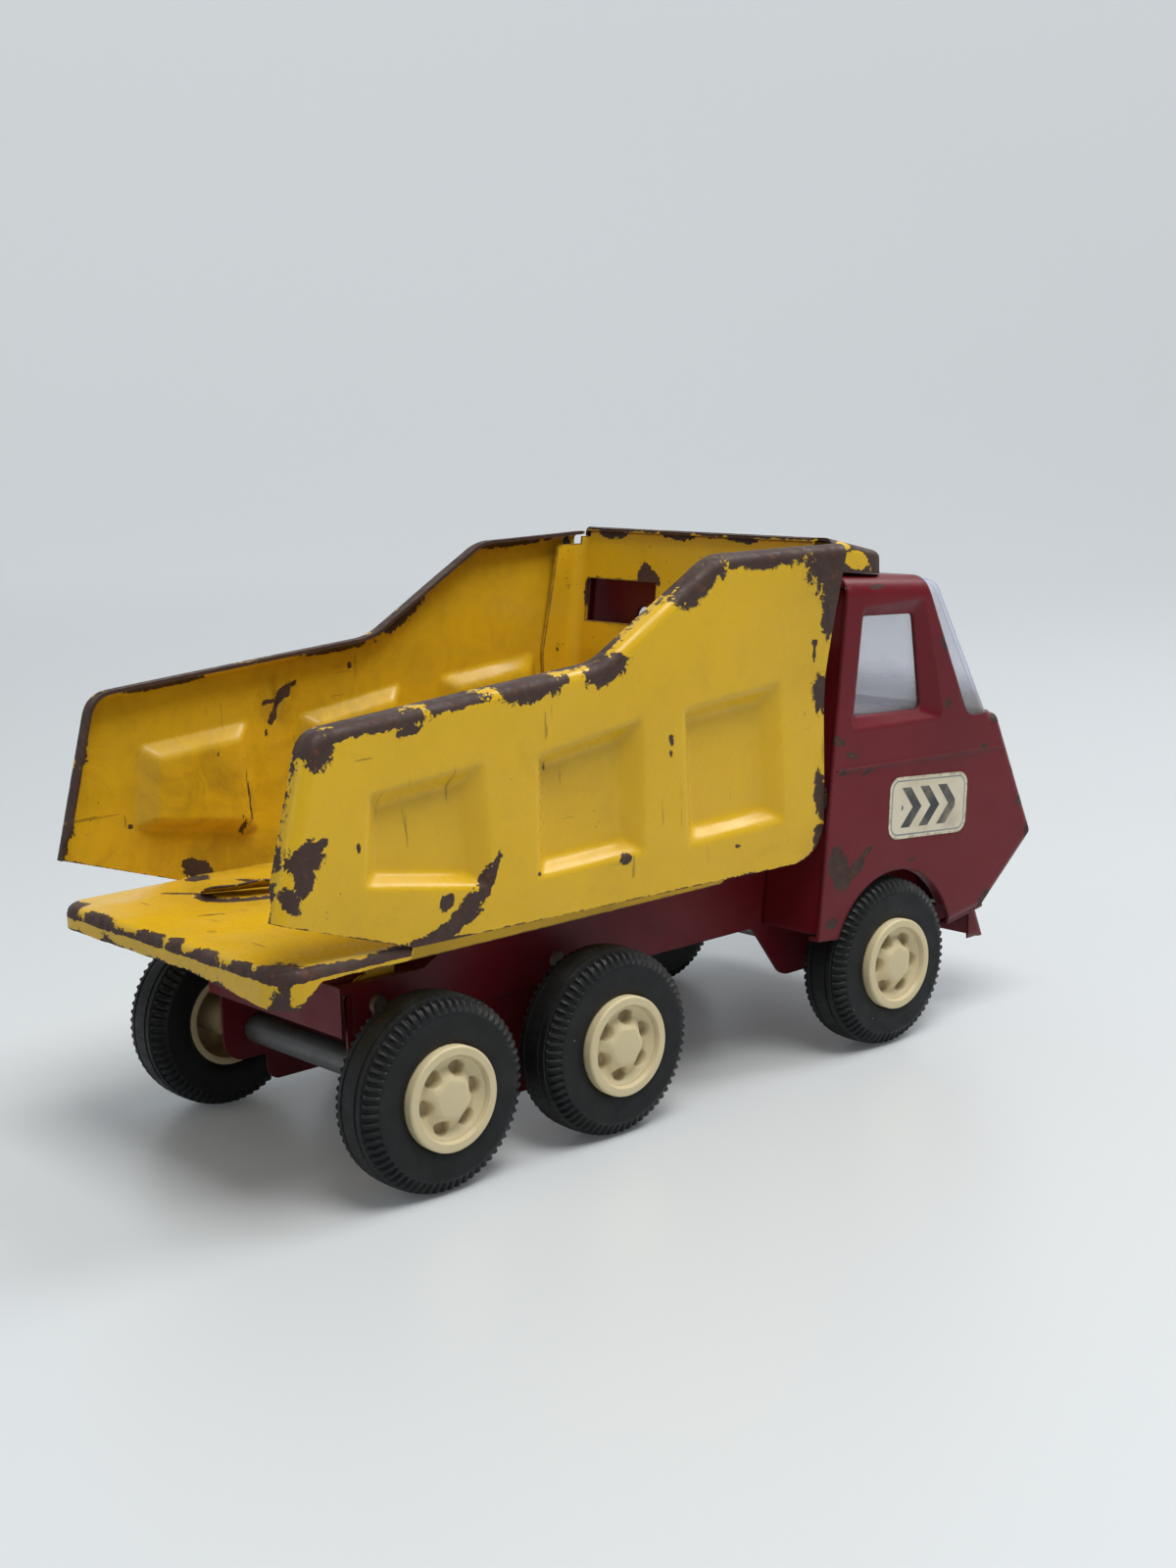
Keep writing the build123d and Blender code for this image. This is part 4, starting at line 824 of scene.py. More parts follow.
def pocket_depth(x, z):
    """How far the pockets are pressed in at each point, from 0 to 1."""
    total = np.zeros(len(x))
    for mouth, bottom in POCKETS:
        slopes = []
        for k in range(4):
            a, b = np.array(mouth[k]), np.array(mouth[(k + 1) % 4])
            c, d = np.array(bottom[k]), np.array(bottom[(k + 1) % 4])
            run = (b - a) / np.linalg.norm(b - a)
            normal = np.array([run[1], -run[0]])
            gap = float(((c + d) / 2 - (a + b) / 2) @ normal)
            slopes.append(((x - a[0]) * normal[0] + (z - a[1]) * normal[1]) / gap)
        # a soft minimum rounds the pocket's corners
        powers = np.exp(-POCKET_SHARP * np.clip(np.array(slopes), -4, 6))
        inward = -np.log(powers.sum(0)) / POCKET_SHARP + 0.03
        # a straight slope whose two ends are rounded off
        ramp = np.clip(inward, -POCKET_SOFT, 1 + POCKET_SOFT)
        foot = (ramp + POCKET_SOFT) ** 2 / (4 * POCKET_SOFT)
        head = 1 - (1 + POCKET_SOFT - ramp) ** 2 / (4 * POCKET_SOFT)
        rise = np.where(ramp > 1 - POCKET_SOFT, head, np.where(ramp < POCKET_SOFT, foot, ramp))
        total = np.maximum(total, np.clip(rise, 0, 1))
    return total


def edge_marks(length, count):
    """Distances along a line, close together at its start where the rim bends."""
    rest = np.linspace(RIM_MARKS[-1], length, count - len(RIM_MARKS) + 1)
    return np.concatenate([RIM_MARKS, rest[1:]])


def panel_grid():
    """Points (x, z) of the panel row by row from the top down, and its top and foot lines."""
    top = rounded_path(TOP_LINE, [7.0, 16.0, 14.0])
    top = top[int(np.argmax(top[:, 1] > REAR_CORNER[1] - 9.0)):]
    foot = rounded_path(FOOT_LINE, [0.01, 0.01, 12.0])
    ends = []
    for path in (top, foot):
        length = spread(path, [0.0])[1]
        ends.append(spread(path, edge_marks(length, PANEL_COLUMNS))[0])
    columns = []
    for upper, lower in zip(*ends):
        length = np.linalg.norm(lower - upper)
        share = edge_marks(length, PANEL_ROWS)[:, None] / length
        columns.append(upper + (lower - upper) * share)
    xz = np.stack(columns, 1).reshape(-1, 2)
    # the front edge is upright to its bend and leans forward above it
    lean = FRONT_LEAN * np.clip((xz[:, 1] - 64.0) / 61.2, 0, 1)
    bent = FRONT_LEAN * np.clip((xz[:, 1] - 95.0) / 30.2, 0, 1)
    xz[:, 0] += (bent - lean) * np.clip((xz[:, 0] - 90.0) / (PANEL_FRONT + lean - 90.0), 0, 1)
    return xz, top, foot


def panel_piece(hand, bed, material):
    """One side panel: rim turned in along the rear and the top, three pressed pockets."""
    sign = SIDES[hand]
    left = sign > 0
    half = -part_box("dump_bed")[0].y / MM
    bend, depth = bed.bend / MM, bed.pocket_depth / MM
    xz, top, foot = panel_grid()
    x, z = xz.T
    gap, along = distance_to(np.vstack([TOP_LINE[0], top[0], top]), xz)
    turn = np.clip(bend - gap, 0, bend)
    y = -half + bend - np.sqrt(np.maximum(bend**2 - turn**2, 0))
    y += depth * pocket_depth(x, z)
    # soft dents of an old panel, and corners bent outwards
    waves = soft_noise(np.column_stack([xz, np.zeros(len(xz))]), 26.0, 3 if left else 8)
    y += 0.30 * waves * np.clip((104.0 - x) / 20.0, 0, 1)
    corner = np.clip((x - 78.0) / 42.0, 0, 1) ** 1.7 * np.clip((z - 84.0) / 41.0, 0, 1) ** 1.4
    y -= (bed.splay / MM) * corner
    if left:
        tear = np.exp(-(((x - 23.0) / 5.0) ** 2 + ((z - 91.0) / 4.0) ** 2))
        y += 0.9 * tear * np.sin(x * 1.3)
    points = [np.column_stack([x, y, z])]
    faces = grid_faces(PANEL_ROWS, PANEL_COLUMNS)
    # the rim's flat part goes on inwards from the rear edge and the top
    loop = [r * PANEL_COLUMNS for r in range(PANEL_ROWS - 1, 0, -1)] + list(range(PANEL_COLUMNS))
    edge = points[0][loop]
    reach = bed.rim / MM - bend
    drop = np.clip((edge[:, 2] - 66.0) / 4.0, 0.25, 1)
    ragged = soft_noise(edge, 3.0, 5)
    for share in RIM_STEPS:
        strip = edge.copy()
        strip[:, 1] += reach * share * drop + (0.12 * ragged if share == 1.0 else 0)
        points.append(strip)
    faces += strip_faces(loop, len(xz), len(RIM_STEPS))
    every = np.vstack(points)
    # wear: along the rim, in uneven runs, along the foot, and the chips
    run = soft_noise(np.column_stack([along / 9.0, along * 0, along * 0]), 1.0, 6 if left else 2)
    worn = 0.32 if left else -0.10
    wear = worn - gap / (1.15 + 0.9 * np.clip(run, -0.6, 1)) - np.clip(-run, 0, 1) * 0.5
    wear = np.maximum(wear, 0.18 - distance_to(foot, xz)[0] / 0.8)
    wear = np.maximum(wear, 1.15 * ellipse_wear(x, z, PANEL_CHIPS[hand]))
    wear = np.maximum(wear, -1.0)
    rim_wear = np.maximum(wear[loop] + 0.2, 0.1 if left else -0.15)
    wear = np.concatenate([wear, np.tile(rim_wear, len(RIM_STEPS))])
    low_dirt = np.clip((66.0 - z) / 12.0, 0, 1)
    # dirt around the tears, and on the left panel painted shade over the three pockets
    tear_dirt_and_pocket_shade = 1.2 * np.clip(ellipse_wear(x, z, PANEL_SOIL_AND_SHADE[hand]), 0, 1)
    base, share = (0.42, 0.7) if left else (0.0, 0.15)
    soil_and_shade = np.clip(base + share * (low_dirt + tear_dirt_and_pocket_shade), 0, 1)
    soil_and_shade = np.concatenate([soil_and_shade, np.full(len(RIM_STEPS) * len(loop), 0.3)])
    if left:
        every[:, 1] *= -1
        faces = [face[::-1] for face in faces]
    piece = smooth_mesh(f"bed_{hand}_panel", every, faces, material)
    add_values(piece, "wear", wear)
    add_values(piece, "soil_and_shade", soil_and_shade)
    facing = sum(polygon.normal.y * polygon.area for polygon in piece.data.polygons)
    thicken(piece, bed.sheet, 1.0 if facing * sign < 0 else -1.0, even=True)
    piece.data.set_sharp_from_angle(angle=math.radians(50))
    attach(piece, "bed")
    return piece


# ---- floor and spill lip -----------------------------------------------------------
FLOOR_HALF = 44.0           # half width of the floor and its lip
FLOOR_FRONT, SLIT, LIP_REAR = 105.0, -5.2, -37.7
FLOOR_HIGH, FLOOR_FRONT_HIGH = 54.0, 51.9
LIP_ROUND, LIP_BEND = 7.0, 2.2  # radii of the lip's plan corners and of its folded edge
FLANGE_LOW = 46.4           # height of the flange's foot at its deepest
FLANGE_STEPS = (0.1, 0.4, 0.7, 1.0)
FLAP = (-2.6, 21.0)         # middle of the torn flap in the floor
FLAP_TURN = -0.40           # turn of its hinge line from the truck's length
# chips: centre x and y, half length, half width, turn
LIP_CHIPS = [
    (-37.0, 39.0, 4.0, 3.6, 0.0), (-37.6, 26.0, 2.4, 6.0, 0.0), (-37.6, 4.0, 2.0, 5.4, 0.0),
    (-37.4, -5.0, 2.6, 3.0, 0.0), (-37.6, -17.0, 1.8, 5.0, 0.0), (-35.6, -40.0, 4.4, 5.4, 0.3),
    (-37.4, -30.0, 1.4, 4.0, 0.0), (-20.0, -44.2, 12.0, 1.2, 0.0), (-8.0, -44.0, 8.0, 1.6, 0.0),
    (-30.0, -43.6, 6.0, 1.3, 0.0), (-24.0, 44.2, 12.0, 1.0, 0.0), (-3.0, 40.6, 3.6, 2.4, 0.4),
    (-14.0, 30.0, 0.8, 5.0, 0.7), (4.0, 31.0, 1.2, 3.0, 0.4), (-9.0, -3.0, 0.5, 4.0, 0.3),
    (-20.0, 8.0, 0.4, 3.0, 1.1), (60.0, 20.0, 1.5, 3.0, 0.0), (35.0, -18.0, 1.2, 2.2, 0.6),
]


def floor_piece(bed, material):
    """Floor and spill lip, torn where a crescent of the sheet is lifted."""
    half, rear = FLOOR_HALF, LIP_REAR
    ys = np.concatenate([np.linspace(-half, -half + 9, 19),
                         np.linspace(-half + 9.7, half - 9.7, 98),
                         np.linspace(half - 9, half, 19)])
    xs = np.concatenate([np.linspace(rear, -29.0, 20), np.linspace(-28.4, 20.0, 66),
                         np.linspace(21.6, FLOOR_FRONT, 44)])
    corner_x, corner_y = rear + LIP_ROUND, half - LIP_ROUND
    points = []
    for x in xs:
        # the lip's plan has rounded corners behind the slit
        over = max(0.0, corner_x - x)
        rounded = corner_y + math.sqrt(max(LIP_ROUND**2 - over**2, 0.0))
        wide = rounded if x < SLIT else half - 0.5
        points += [[x, y / half * wide, 0.0] for y in ys]
    base = np.array(points)
    x, y = base[:, 0], base[:, 1]
    corner = np.hypot(np.minimum(x - corner_x, 0), np.maximum(np.abs(y) - corner_y, 0))
    near_edge = (x < corner_x) | (np.abs(y) > corner_y)
    from_edge = np.where(near_edge, LIP_ROUND - corner, LIP_ROUND)
    from_edge = np.where(np.abs(y) < corner_y, np.minimum(x - rear, LIP_ROUND), from_edge)
    from_edge = np.where(x > SLIT - 0.6, 9.0, from_edge)
    turn = np.clip(LIP_BEND - from_edge, 0, LIP_BEND)
    z = FLOOR_HIGH - LIP_BEND + np.sqrt(np.maximum(LIP_BEND**2 - turn**2, 0))
    z -= np.clip((x - SLIT) / (FLOOR_FRONT - SLIT), 0, 1) * (FLOOR_HIGH - FLOOR_FRONT_HIGH)
    waves = soft_noise(np.column_stack([x, y, y * 0]), 19.0, 4)
    inner = np.clip(from_edge / 6.0, 0, 1) * np.clip((100 - x) / 20, 0, 1)
    inner *= np.clip((42 - np.abs(y)) / 6, 0, 1)
    z -= np.abs(waves) * 0.35 * inner
    # the tear: a sunken crescent beside the flap
    cos, sin = math.cos(FLAP_TURN), math.sin(FLAP_TURN)
    dx, dy = x - FLAP[0], y - FLAP[1]
    u, v = dx * cos + dy * sin, dx * sin - dy * cos
    ring = np.hypot(u / 10.6, v / 8.2)
    from_tear = np.abs(ring - 0.92)
    z -= 0.7 * np.clip(1.0 - from_tear * 4.0, 0, 1) * np.clip((v + 0.5) / 1.5, 0, 1)
    base[:, 2] = z
    wear = 0.25 - np.abs(from_edge) / 1.1
    wear = np.maximum(wear, 1.1 * ellipse_wear(x, y, LIP_CHIPS))
    # along the torn crescent the sheet shows dark primer and rust: rust on the torn edge, and
    # painted shade for the open slot under the flap
    wear = np.maximum(wear, np.where(v > -1.5, 1.0 - from_tear * 5.0, -1.0))
    side_dirt = np.clip((np.abs(y) - 36.0) / 8.0, 0, 1) * np.clip((x - SLIT) / 10, 0, 1)
    soil_and_shade = np.clip(1.25 - ring / 1.6, 0, 1) + side_dirt
    soil_and_shade = np.clip(np.maximum(soil_and_shade, (x - 60.0) / 40.0), 0, 1)
    # the flange: deep across the rear, deepest at its right end, and a bead along the sides
    columns = len(ys)
    slit_row = int(np.searchsorted(xs, SLIT))
    loop = [r * columns for r in range(slit_row, 0, -1)] + list(range(columns))
    loop += [r * columns + columns - 1 for r in range(1, slit_row + 1)]
    edge = base[loop]
    depth = np.where(edge[:, 0] < -33.0, 1.0, np.clip(1.0 - (edge[:, 0] + 33.0) / 5.0, 0.0, 1.0))
    depth *= 0.42 + 0.58 * np.clip((-8.0 - edge[:, 1]) / 32.0, 0, 1) ** 1.3
    full = FLOOR_HIGH - LIP_BEND - FLANGE_LOW
    ragged = soft_noise(edge, 4.0, 9)
    patch = soft_noise(np.column_stack([edge[:, 1], edge[:, 0], edge[:, 0] * 0]), 7.0, 12)
    bare_corner = 1.35 - np.hypot((edge[:, 1] + 42.5) / 3.0, (edge[:, 0] + 36.0) / 4.0)
    patch = np.maximum(patch, bare_corner)
    points, wears = [base], [wear]
    for share in FLANGE_STEPS:
        strip = edge.copy()
        hem = share == 1.0
        strip[:, 2] -= 0.25 + full * share * (0.12 + 0.88 * depth) + (0.2 * ragged if hem else 0)
        points.append(strip)
        wears.append(-0.42 + 0.62 * patch + (0.55 if hem else 0.0) - (0.1 if share < 0.5 else 0))
    faces = grid_faces(len(xs), columns) + strip_faces(loop, len(base), len(FLANGE_STEPS))
    piece = smooth_mesh("bed_floor", np.vstack(points), faces, material)
    add_values(piece, "wear", np.concatenate(wears))
    add_values(piece, "soil_and_shade", np.concatenate([soil_and_shade, np.full(len(FLANGE_STEPS) * len(loop), 0.25)]))
    up = sum(polygon.normal.z * polygon.area for polygon in piece.data.polygons)
    thicken(piece, bed.sheet, -1.0 if up > 0 else 1.0)
    piece.data.set_sharp_from_angle(angle=math.radians(50))
    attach(piece, "bed")
    return piece


def flap_piece(bed, material):
    """Crescent of floor sheet that has torn loose and curls up towards the rear."""
    rows, columns = 12, 46
    cos, sin = math.cos(FLAP_TURN), math.sin(FLAP_TURN)
    points, wear = [], []
    for t in np.linspace(0, 1, rows):
        for s in np.linspace(-1, 1, columns):
            bow = math.sqrt(max(0.0, 1 - s * s))
            u, v = s * 10.0, -1.6 + (1.2 + 6.0 * bow) * t
            lift = 0.25 + 2.9 * bow * t**1.3 + 0.3 * math.sin(s * 5.0) * t
            x, y = FLAP[0] + u * cos + v * sin, FLAP[1] + u * sin - v * cos
            points.append([x, y, FLOOR_HIGH + 0.05 + lift])
            from_edge = min((1 - t) * 7 * max(bow, 0.1), (1 - abs(s)) * 9)
            wear.append(0.22 - from_edge / 0.9 + 0.5 * max(0.0, s - 0.45))
    piece = smooth_mesh("bed_floor_flap", points, grid_faces(rows, columns), material)
    add_values(piece, "wear", wear)
    add_values(piece, "soil_and_shade", np.full(len(wear), 0.5))
    thicken(piece, bed.sheet * 0.6, 0.0)
    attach(piece, "bed")
    return piece


class TRUCK_OT_bed(bpy.types.Operator):
    """Build the dump bed's side panels, floor, spill lip and torn flap"""

    bl_idname = "truck.bed"
    bl_label = "Dump Bed"

    def execute(self, context):
        bed = context.scene.truck_bed
        floor = floor_piece(bed, MATERIALS["bed_sheet"])
        for hand in SIDES:
            panel_piece(hand, bed, MATERIALS["bed_sheet"])
        flap_piece(bed, MATERIALS["bed_sheet"])
        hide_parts("dump_bed")
        return {"FINISHED"}


# ---- wheels ------------------------------------------------------------------------
# across a tyre, from its outer side: distance, radius, share of the lugs' depth
TYRE_SIDE = [
    (0.9, 11.0, 0), (0.35, 11.5, 0), (0.0, 12.3, 0), (0.0, 14.0, 0), (0.0, 16.2, 0),
    (0.0, 16.8, 0), (-0.10, 17.1, 0), (-0.10, 17.5, 0), (0.12, 17.8, 0.0), (0.24, 18.35, 0.7),
    (0.42, 18.9, 1.0), (0.75, 19.55, 1.0), (1.3, 20.2, 1.0), (1.9, 20.55, 1.0),
    (2.25, 20.6, 0.45), (2.4, 20.35, 0.0), (2.75, 20.3, 0.0), (2.9, 20.78, 0.1),
    (3.9, 20.9, 0.1), (4.1, 20.45, 0.0), (4.45, 20.45, 0.0), (4.6, 20.92, 0.06),
]
LUG_CUTS = (0.0, 0.15, 1.0, 0.85)   # share of the depth at the steps around one lug
WHEEL_TURNS = {"rear": 0.35, "mid": 0.16, "front": 0.62}


def tyre_data(wheels, material):
    """Mesh of one tyre about its own centre, outer side towards -Y, in metres."""
    low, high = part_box("rear_right_tyre")
    width = (high.y - low.y) / MM
    middle = width / 2
    scale = wheels.radius / MM / 21.0
    around = wheels.lugs * len(LUG_CUTS)
    side = [*TYRE_SIDE, (middle, 21.0, 0.06)]
    profile = side + [(width - y, r, lug) for y, r, lug in side[-2::-1]]
    profile = [(max(y, 0.0) if y < 0.05 else min(y, width), r, lug) for y, r, lug in profile]
    points = []
    for k in range(around):
        cut = LUG_CUTS[k % len(LUG_CUTS)] * wheels.lug_depth / MM
        for j, (y, r, lug) in enumerate(profile):
            skew = 0.35 * (y - middle) / middle * (1 if j < len(side) else -1)
            angle = 2 * math.pi * (k + skew * 0.6) / around
            deep = lug * cut
            tread = (r - deep) * scale
            shrink = min(deep * 0.5, 0.35)
            across = y + (shrink if y < middle else -shrink) - middle
            points.append((tread * math.sin(angle), across, tread * math.cos(angle)))
    count = len(profile)
    faces = []
    for k in range(around):
        n = (k + 1) % around
        for j in range(count - 1):
            faces.append((k * count + j, n * count + j, n * count + j + 1, k * count + j + 1))
        faces.append((k * count + count - 1, n * count + count - 1, n * count, k * count))
    data = bpy.data.meshes.new("tyre")
    data.from_pydata((np.array(points) * MM).tolist(), [], faces)
    data.update()
    data.polygons.foreach_set("use_smooth", [True] * len(data.polygons))
    data.set_sharp_from_angle(angle=math.radians(38))
    data.materials.append(material)
    return data


def hub_height(r, angle):
    """Height of the hub's face, 0 at its rim, at a radius and angle; all in millimetres."""
    if r > 8.9:
        edge = max(0.0, r - 10.75) / 0.45
        step = min(max((9.35 - r) / 0.45, 0.0), 1.0)
        return -0.35 * edge**2 - 0.7 * step * step * (3 - 2 * step)
    dish = -1.15 - 1.15 * min(max((8.7 - r) / 1.9, 0.0), 1.0) ** 0.8
    # six-sided dome
    hexagon = r * (1.0 - 0.085 * (0.5 - 0.5 * math.cos(6 * angle)))
    t = min(max((6.5 - hexagon) / 3.1, 0.0), 1.0)
    dome = 1.95 * t * t * (3 - 2 * t) + 0.12 * min(max((3.4 - r) / 3.4, 0.0), 1.0)
    # a hollow between each pair of spokes
    away = (r - 6.35) / 1.75
    turn = (((angle / (math.pi / 3) + 0.5) % 1.0) - 0.5) * 2.0
    pit = min(1.0, 2.1 * max(0.0, 1 - away * away - (turn / 0.62) ** 2))
    return dish + dome * (1 - 0.25 * pit) - 1.75 * pit * pit * (3 - 2 * pit)


def hub_data(wheels, material):
    """Mesh of one hub's face about its own centre, face towards -Y, in metres."""
    low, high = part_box("rear_right_hub")
    back = (high.y - low.y) / MM
    around = 144
    radii = np.concatenate([np.linspace(0.0, 8.6, 40), np.linspace(8.75, 9.6, 10),
                            np.linspace(9.9, 10.7, 4), np.linspace(10.8, 11.2, 6)])
    scale = wheels.hub_radius / MM / 11.2
    points, hollow = [], []
    for r in radii[1:]:
        for k in range(around):
            angle = 2 * math.pi * k / around
            height = hub_height(r, angle)
            points.append((r * scale * math.sin(angle), -height, r * scale * math.cos(angle)))
            deep = max(0.0, -height - 2.2) / 1.4 + (0.35 if 8.7 < r < 9.3 else 0.0)
            hollow.append(min(deep, 1.0))
    rings = len(radii) - 1
    faces = grid_faces(rings, around, closed=True)
    centre = len(points)
    points.append((0.0, -hub_height(0.0, 0.0), 0.0))
    hollow.append(0.0)
    faces += [(centre, (k + 1) % around, k) for k in range(around)]
    outer = (rings - 1) * around
    # down the side and across the back, then the boss around the axle: depth, radius, dirt
    circles = [(0.7, 11.2, 0.0), (1.6, 11.2, 0.0), (back - 1.2, 10.9, 0.0), (back - 0.6, 10.9, 0.0),
               (back - 0.6, 9.4, 0.6), (4.2, 9.2, 0.6), (4.2, 4.6, 0.6)]
    circles = [(depth, radius * scale, dirt) for depth, radius, dirt in circles]
    circles += [(back - 0.02, 4.2, 0.5), (back - 0.02, 1.7, 0.5)]
    for depth, radius, dirt in circles:
        start = len(points)
        for k in range(around):
            angle = 2 * math.pi * k / around
            points.append((radius * math.sin(angle), depth, radius * math.cos(angle)))
            hollow.append(dirt)
            n = (k + 1) % around
            faces.append((outer + k, outer + n, start + n, start + k))
        outer = start
    data = bpy.data.meshes.new("hub")
    data.from_pydata((np.array(points) * MM).tolist(), [], faces)
    data.update()
    data.polygons.foreach_set("use_smooth", [True] * len(data.polygons))
    data.set_sharp_from_angle(angle=math.radians(48))
    data.materials.append(material)
    layer = data.attributes.new("hollow", "FLOAT", "POINT")
    layer.data.foreach_set("value", np.array(hollow, np.float32))
    return data


def mirrored(data, name):
    """Copy of a mesh mirrored across its own middle, for the other side."""
    other = data.copy()
    other.name = name
    for vertex in other.vertices:
        vertex.co.y *= -1
    other.flip_normals()
    return other


def turned(data, name, angle, shift):
    """Copy of a mesh turned about its wheel's axis and moved into place."""
    made = data.copy()
    made.name = name
    cos, sin = math.cos(angle), math.sin(angle)
    co = np.zeros(len(made.vertices) * 3)
    made.vertices.foreach_get("co", co)
    co = co.reshape(-1, 3)
    x, z = co[:, 0].copy(), co[:, 2].copy()
    co[:, 0] = x * cos + z * sin + shift[0]
    co[:, 1] += shift[1]
    co[:, 2] = -x * sin + z * cos + shift[2]
    made.vertices.foreach_set("co", co.ravel())
    made.update()
    return made


class TRUCK_OT_wheels(bpy.types.Operator):
    """Build the six tyres and hubs"""

    bl_idname = "truck.wheels"
    bl_label = "Tyres and Hubs"

    def execute(self, context):
        wheels = context.scene.truck_wheels
        tyre = tyre_data(wheels, MATERIALS["rubber"])
        hub = hub_data(wheels, MATERIALS["cream"])
        for place, x in AXLE_X.items():
            for hand, sign in SIDES.items():
                for kind, data, slot in (("tyre", tyre, "tyre"), ("hub", hub, "cream_plastic")):
                    node = f"{place}_{hand}_{kind}"
                    low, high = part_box(node)
                    base = data if sign < 0 else mirrored(data, f"{kind}_left")
                    if kind == "tyre":
                        middle = (low.y + high.y) / 2
                    else:
                        middle = low.y if sign < 0 else high.y
                    turn = WHEEL_TURNS[place] * (1 if sign < 0 else 2.3)
                    made = turned(base, f"{node}_moulding", turn, (x, middle, AXLE_Z))
                    piece = bpy.data.objects.new(f"{node}_moulding", made)
                    context.scene.collection.objects.link(piece)
                    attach(piece, f"{place}_wheelset")
                    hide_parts(node)
        return {"FINISHED"}


# ---- cab labels --------------------------------------------------------------------
LABEL = (15.0, 7.7, 3.4)        # half length, half height and corner radius, in millimetres
LABEL_TILT = math.radians(4.6)


def rim_inset(along, up, label):
    """A label's point moved in at its rounded corner, and its distance from the label's edge."""
    long, tall, corner = label
    across, high = abs(along) - (long - corner), abs(up) - (tall - corner)
    if across <= 0 or high <= 0:
        return along, up, min(long - abs(along), tall - abs(up))
    reach = max(across, high) / math.hypot(across, high)
    across, high = across * reach, high * reach
    along = math.copysign(long - corner + across, along)
    up = math.copysign(tall - corner + high, up)
    return along, up, corner - math.hypot(across, high)


class TRUCK_OT_labels(bpy.types.Operator):
    """Build the printed label on each door"""

    bl_idname = "truck.labels"
    bl_label = "Door Labels"

    def execute(self, context):
        long, tall, _ = LABEL
        cos, sin = math.cos(LABEL_TILT), math.sin(LABEL_TILT)
        rows, columns = 27, 53
        for hand, sign in SIDES.items():
            node = f"{hand}_door_sticker"
            low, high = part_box(node)
            middle_x, middle_z = ((low.x + high.x) / 2 - REAR_X) / MM, (low.z + high.z) / 2 / MM
            y = (low.y if sign < 0 else high.y) / MM
            points, printed, rim = [], [], []
            for r in range(rows):
                for c in range(columns):
                    u, v = c / (columns - 1) * 2 - 1, r / (rows - 1) * 2 - 1
                    along, up, inset = rim_inset(u * long, v * tall, LABEL)
                    x = middle_x + along * cos + up * sin
                    z = middle_z - along * sin + up * cos
                    points.append((x, y, z))
                    printed.append((u, v * 0.5, 0.0))
                    rim.append(inset / tall)
            faces = grid_faces(rows, columns)
            if sign > 0:
                faces = [face[::-1] for face in faces]
            piece = smooth_mesh(f"{hand}_door_label", points, faces, MATERIALS["label"])
            layer = piece.data.attributes.new("label", "FLOAT_VECTOR", "POINT")
            layer.data.foreach_set("vector", np.array(printed, np.float32).ravel())
            add_values(piece, "label_edge", rim)
            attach(piece, "truck")
            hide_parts(node)
        return {"FINISHED"}


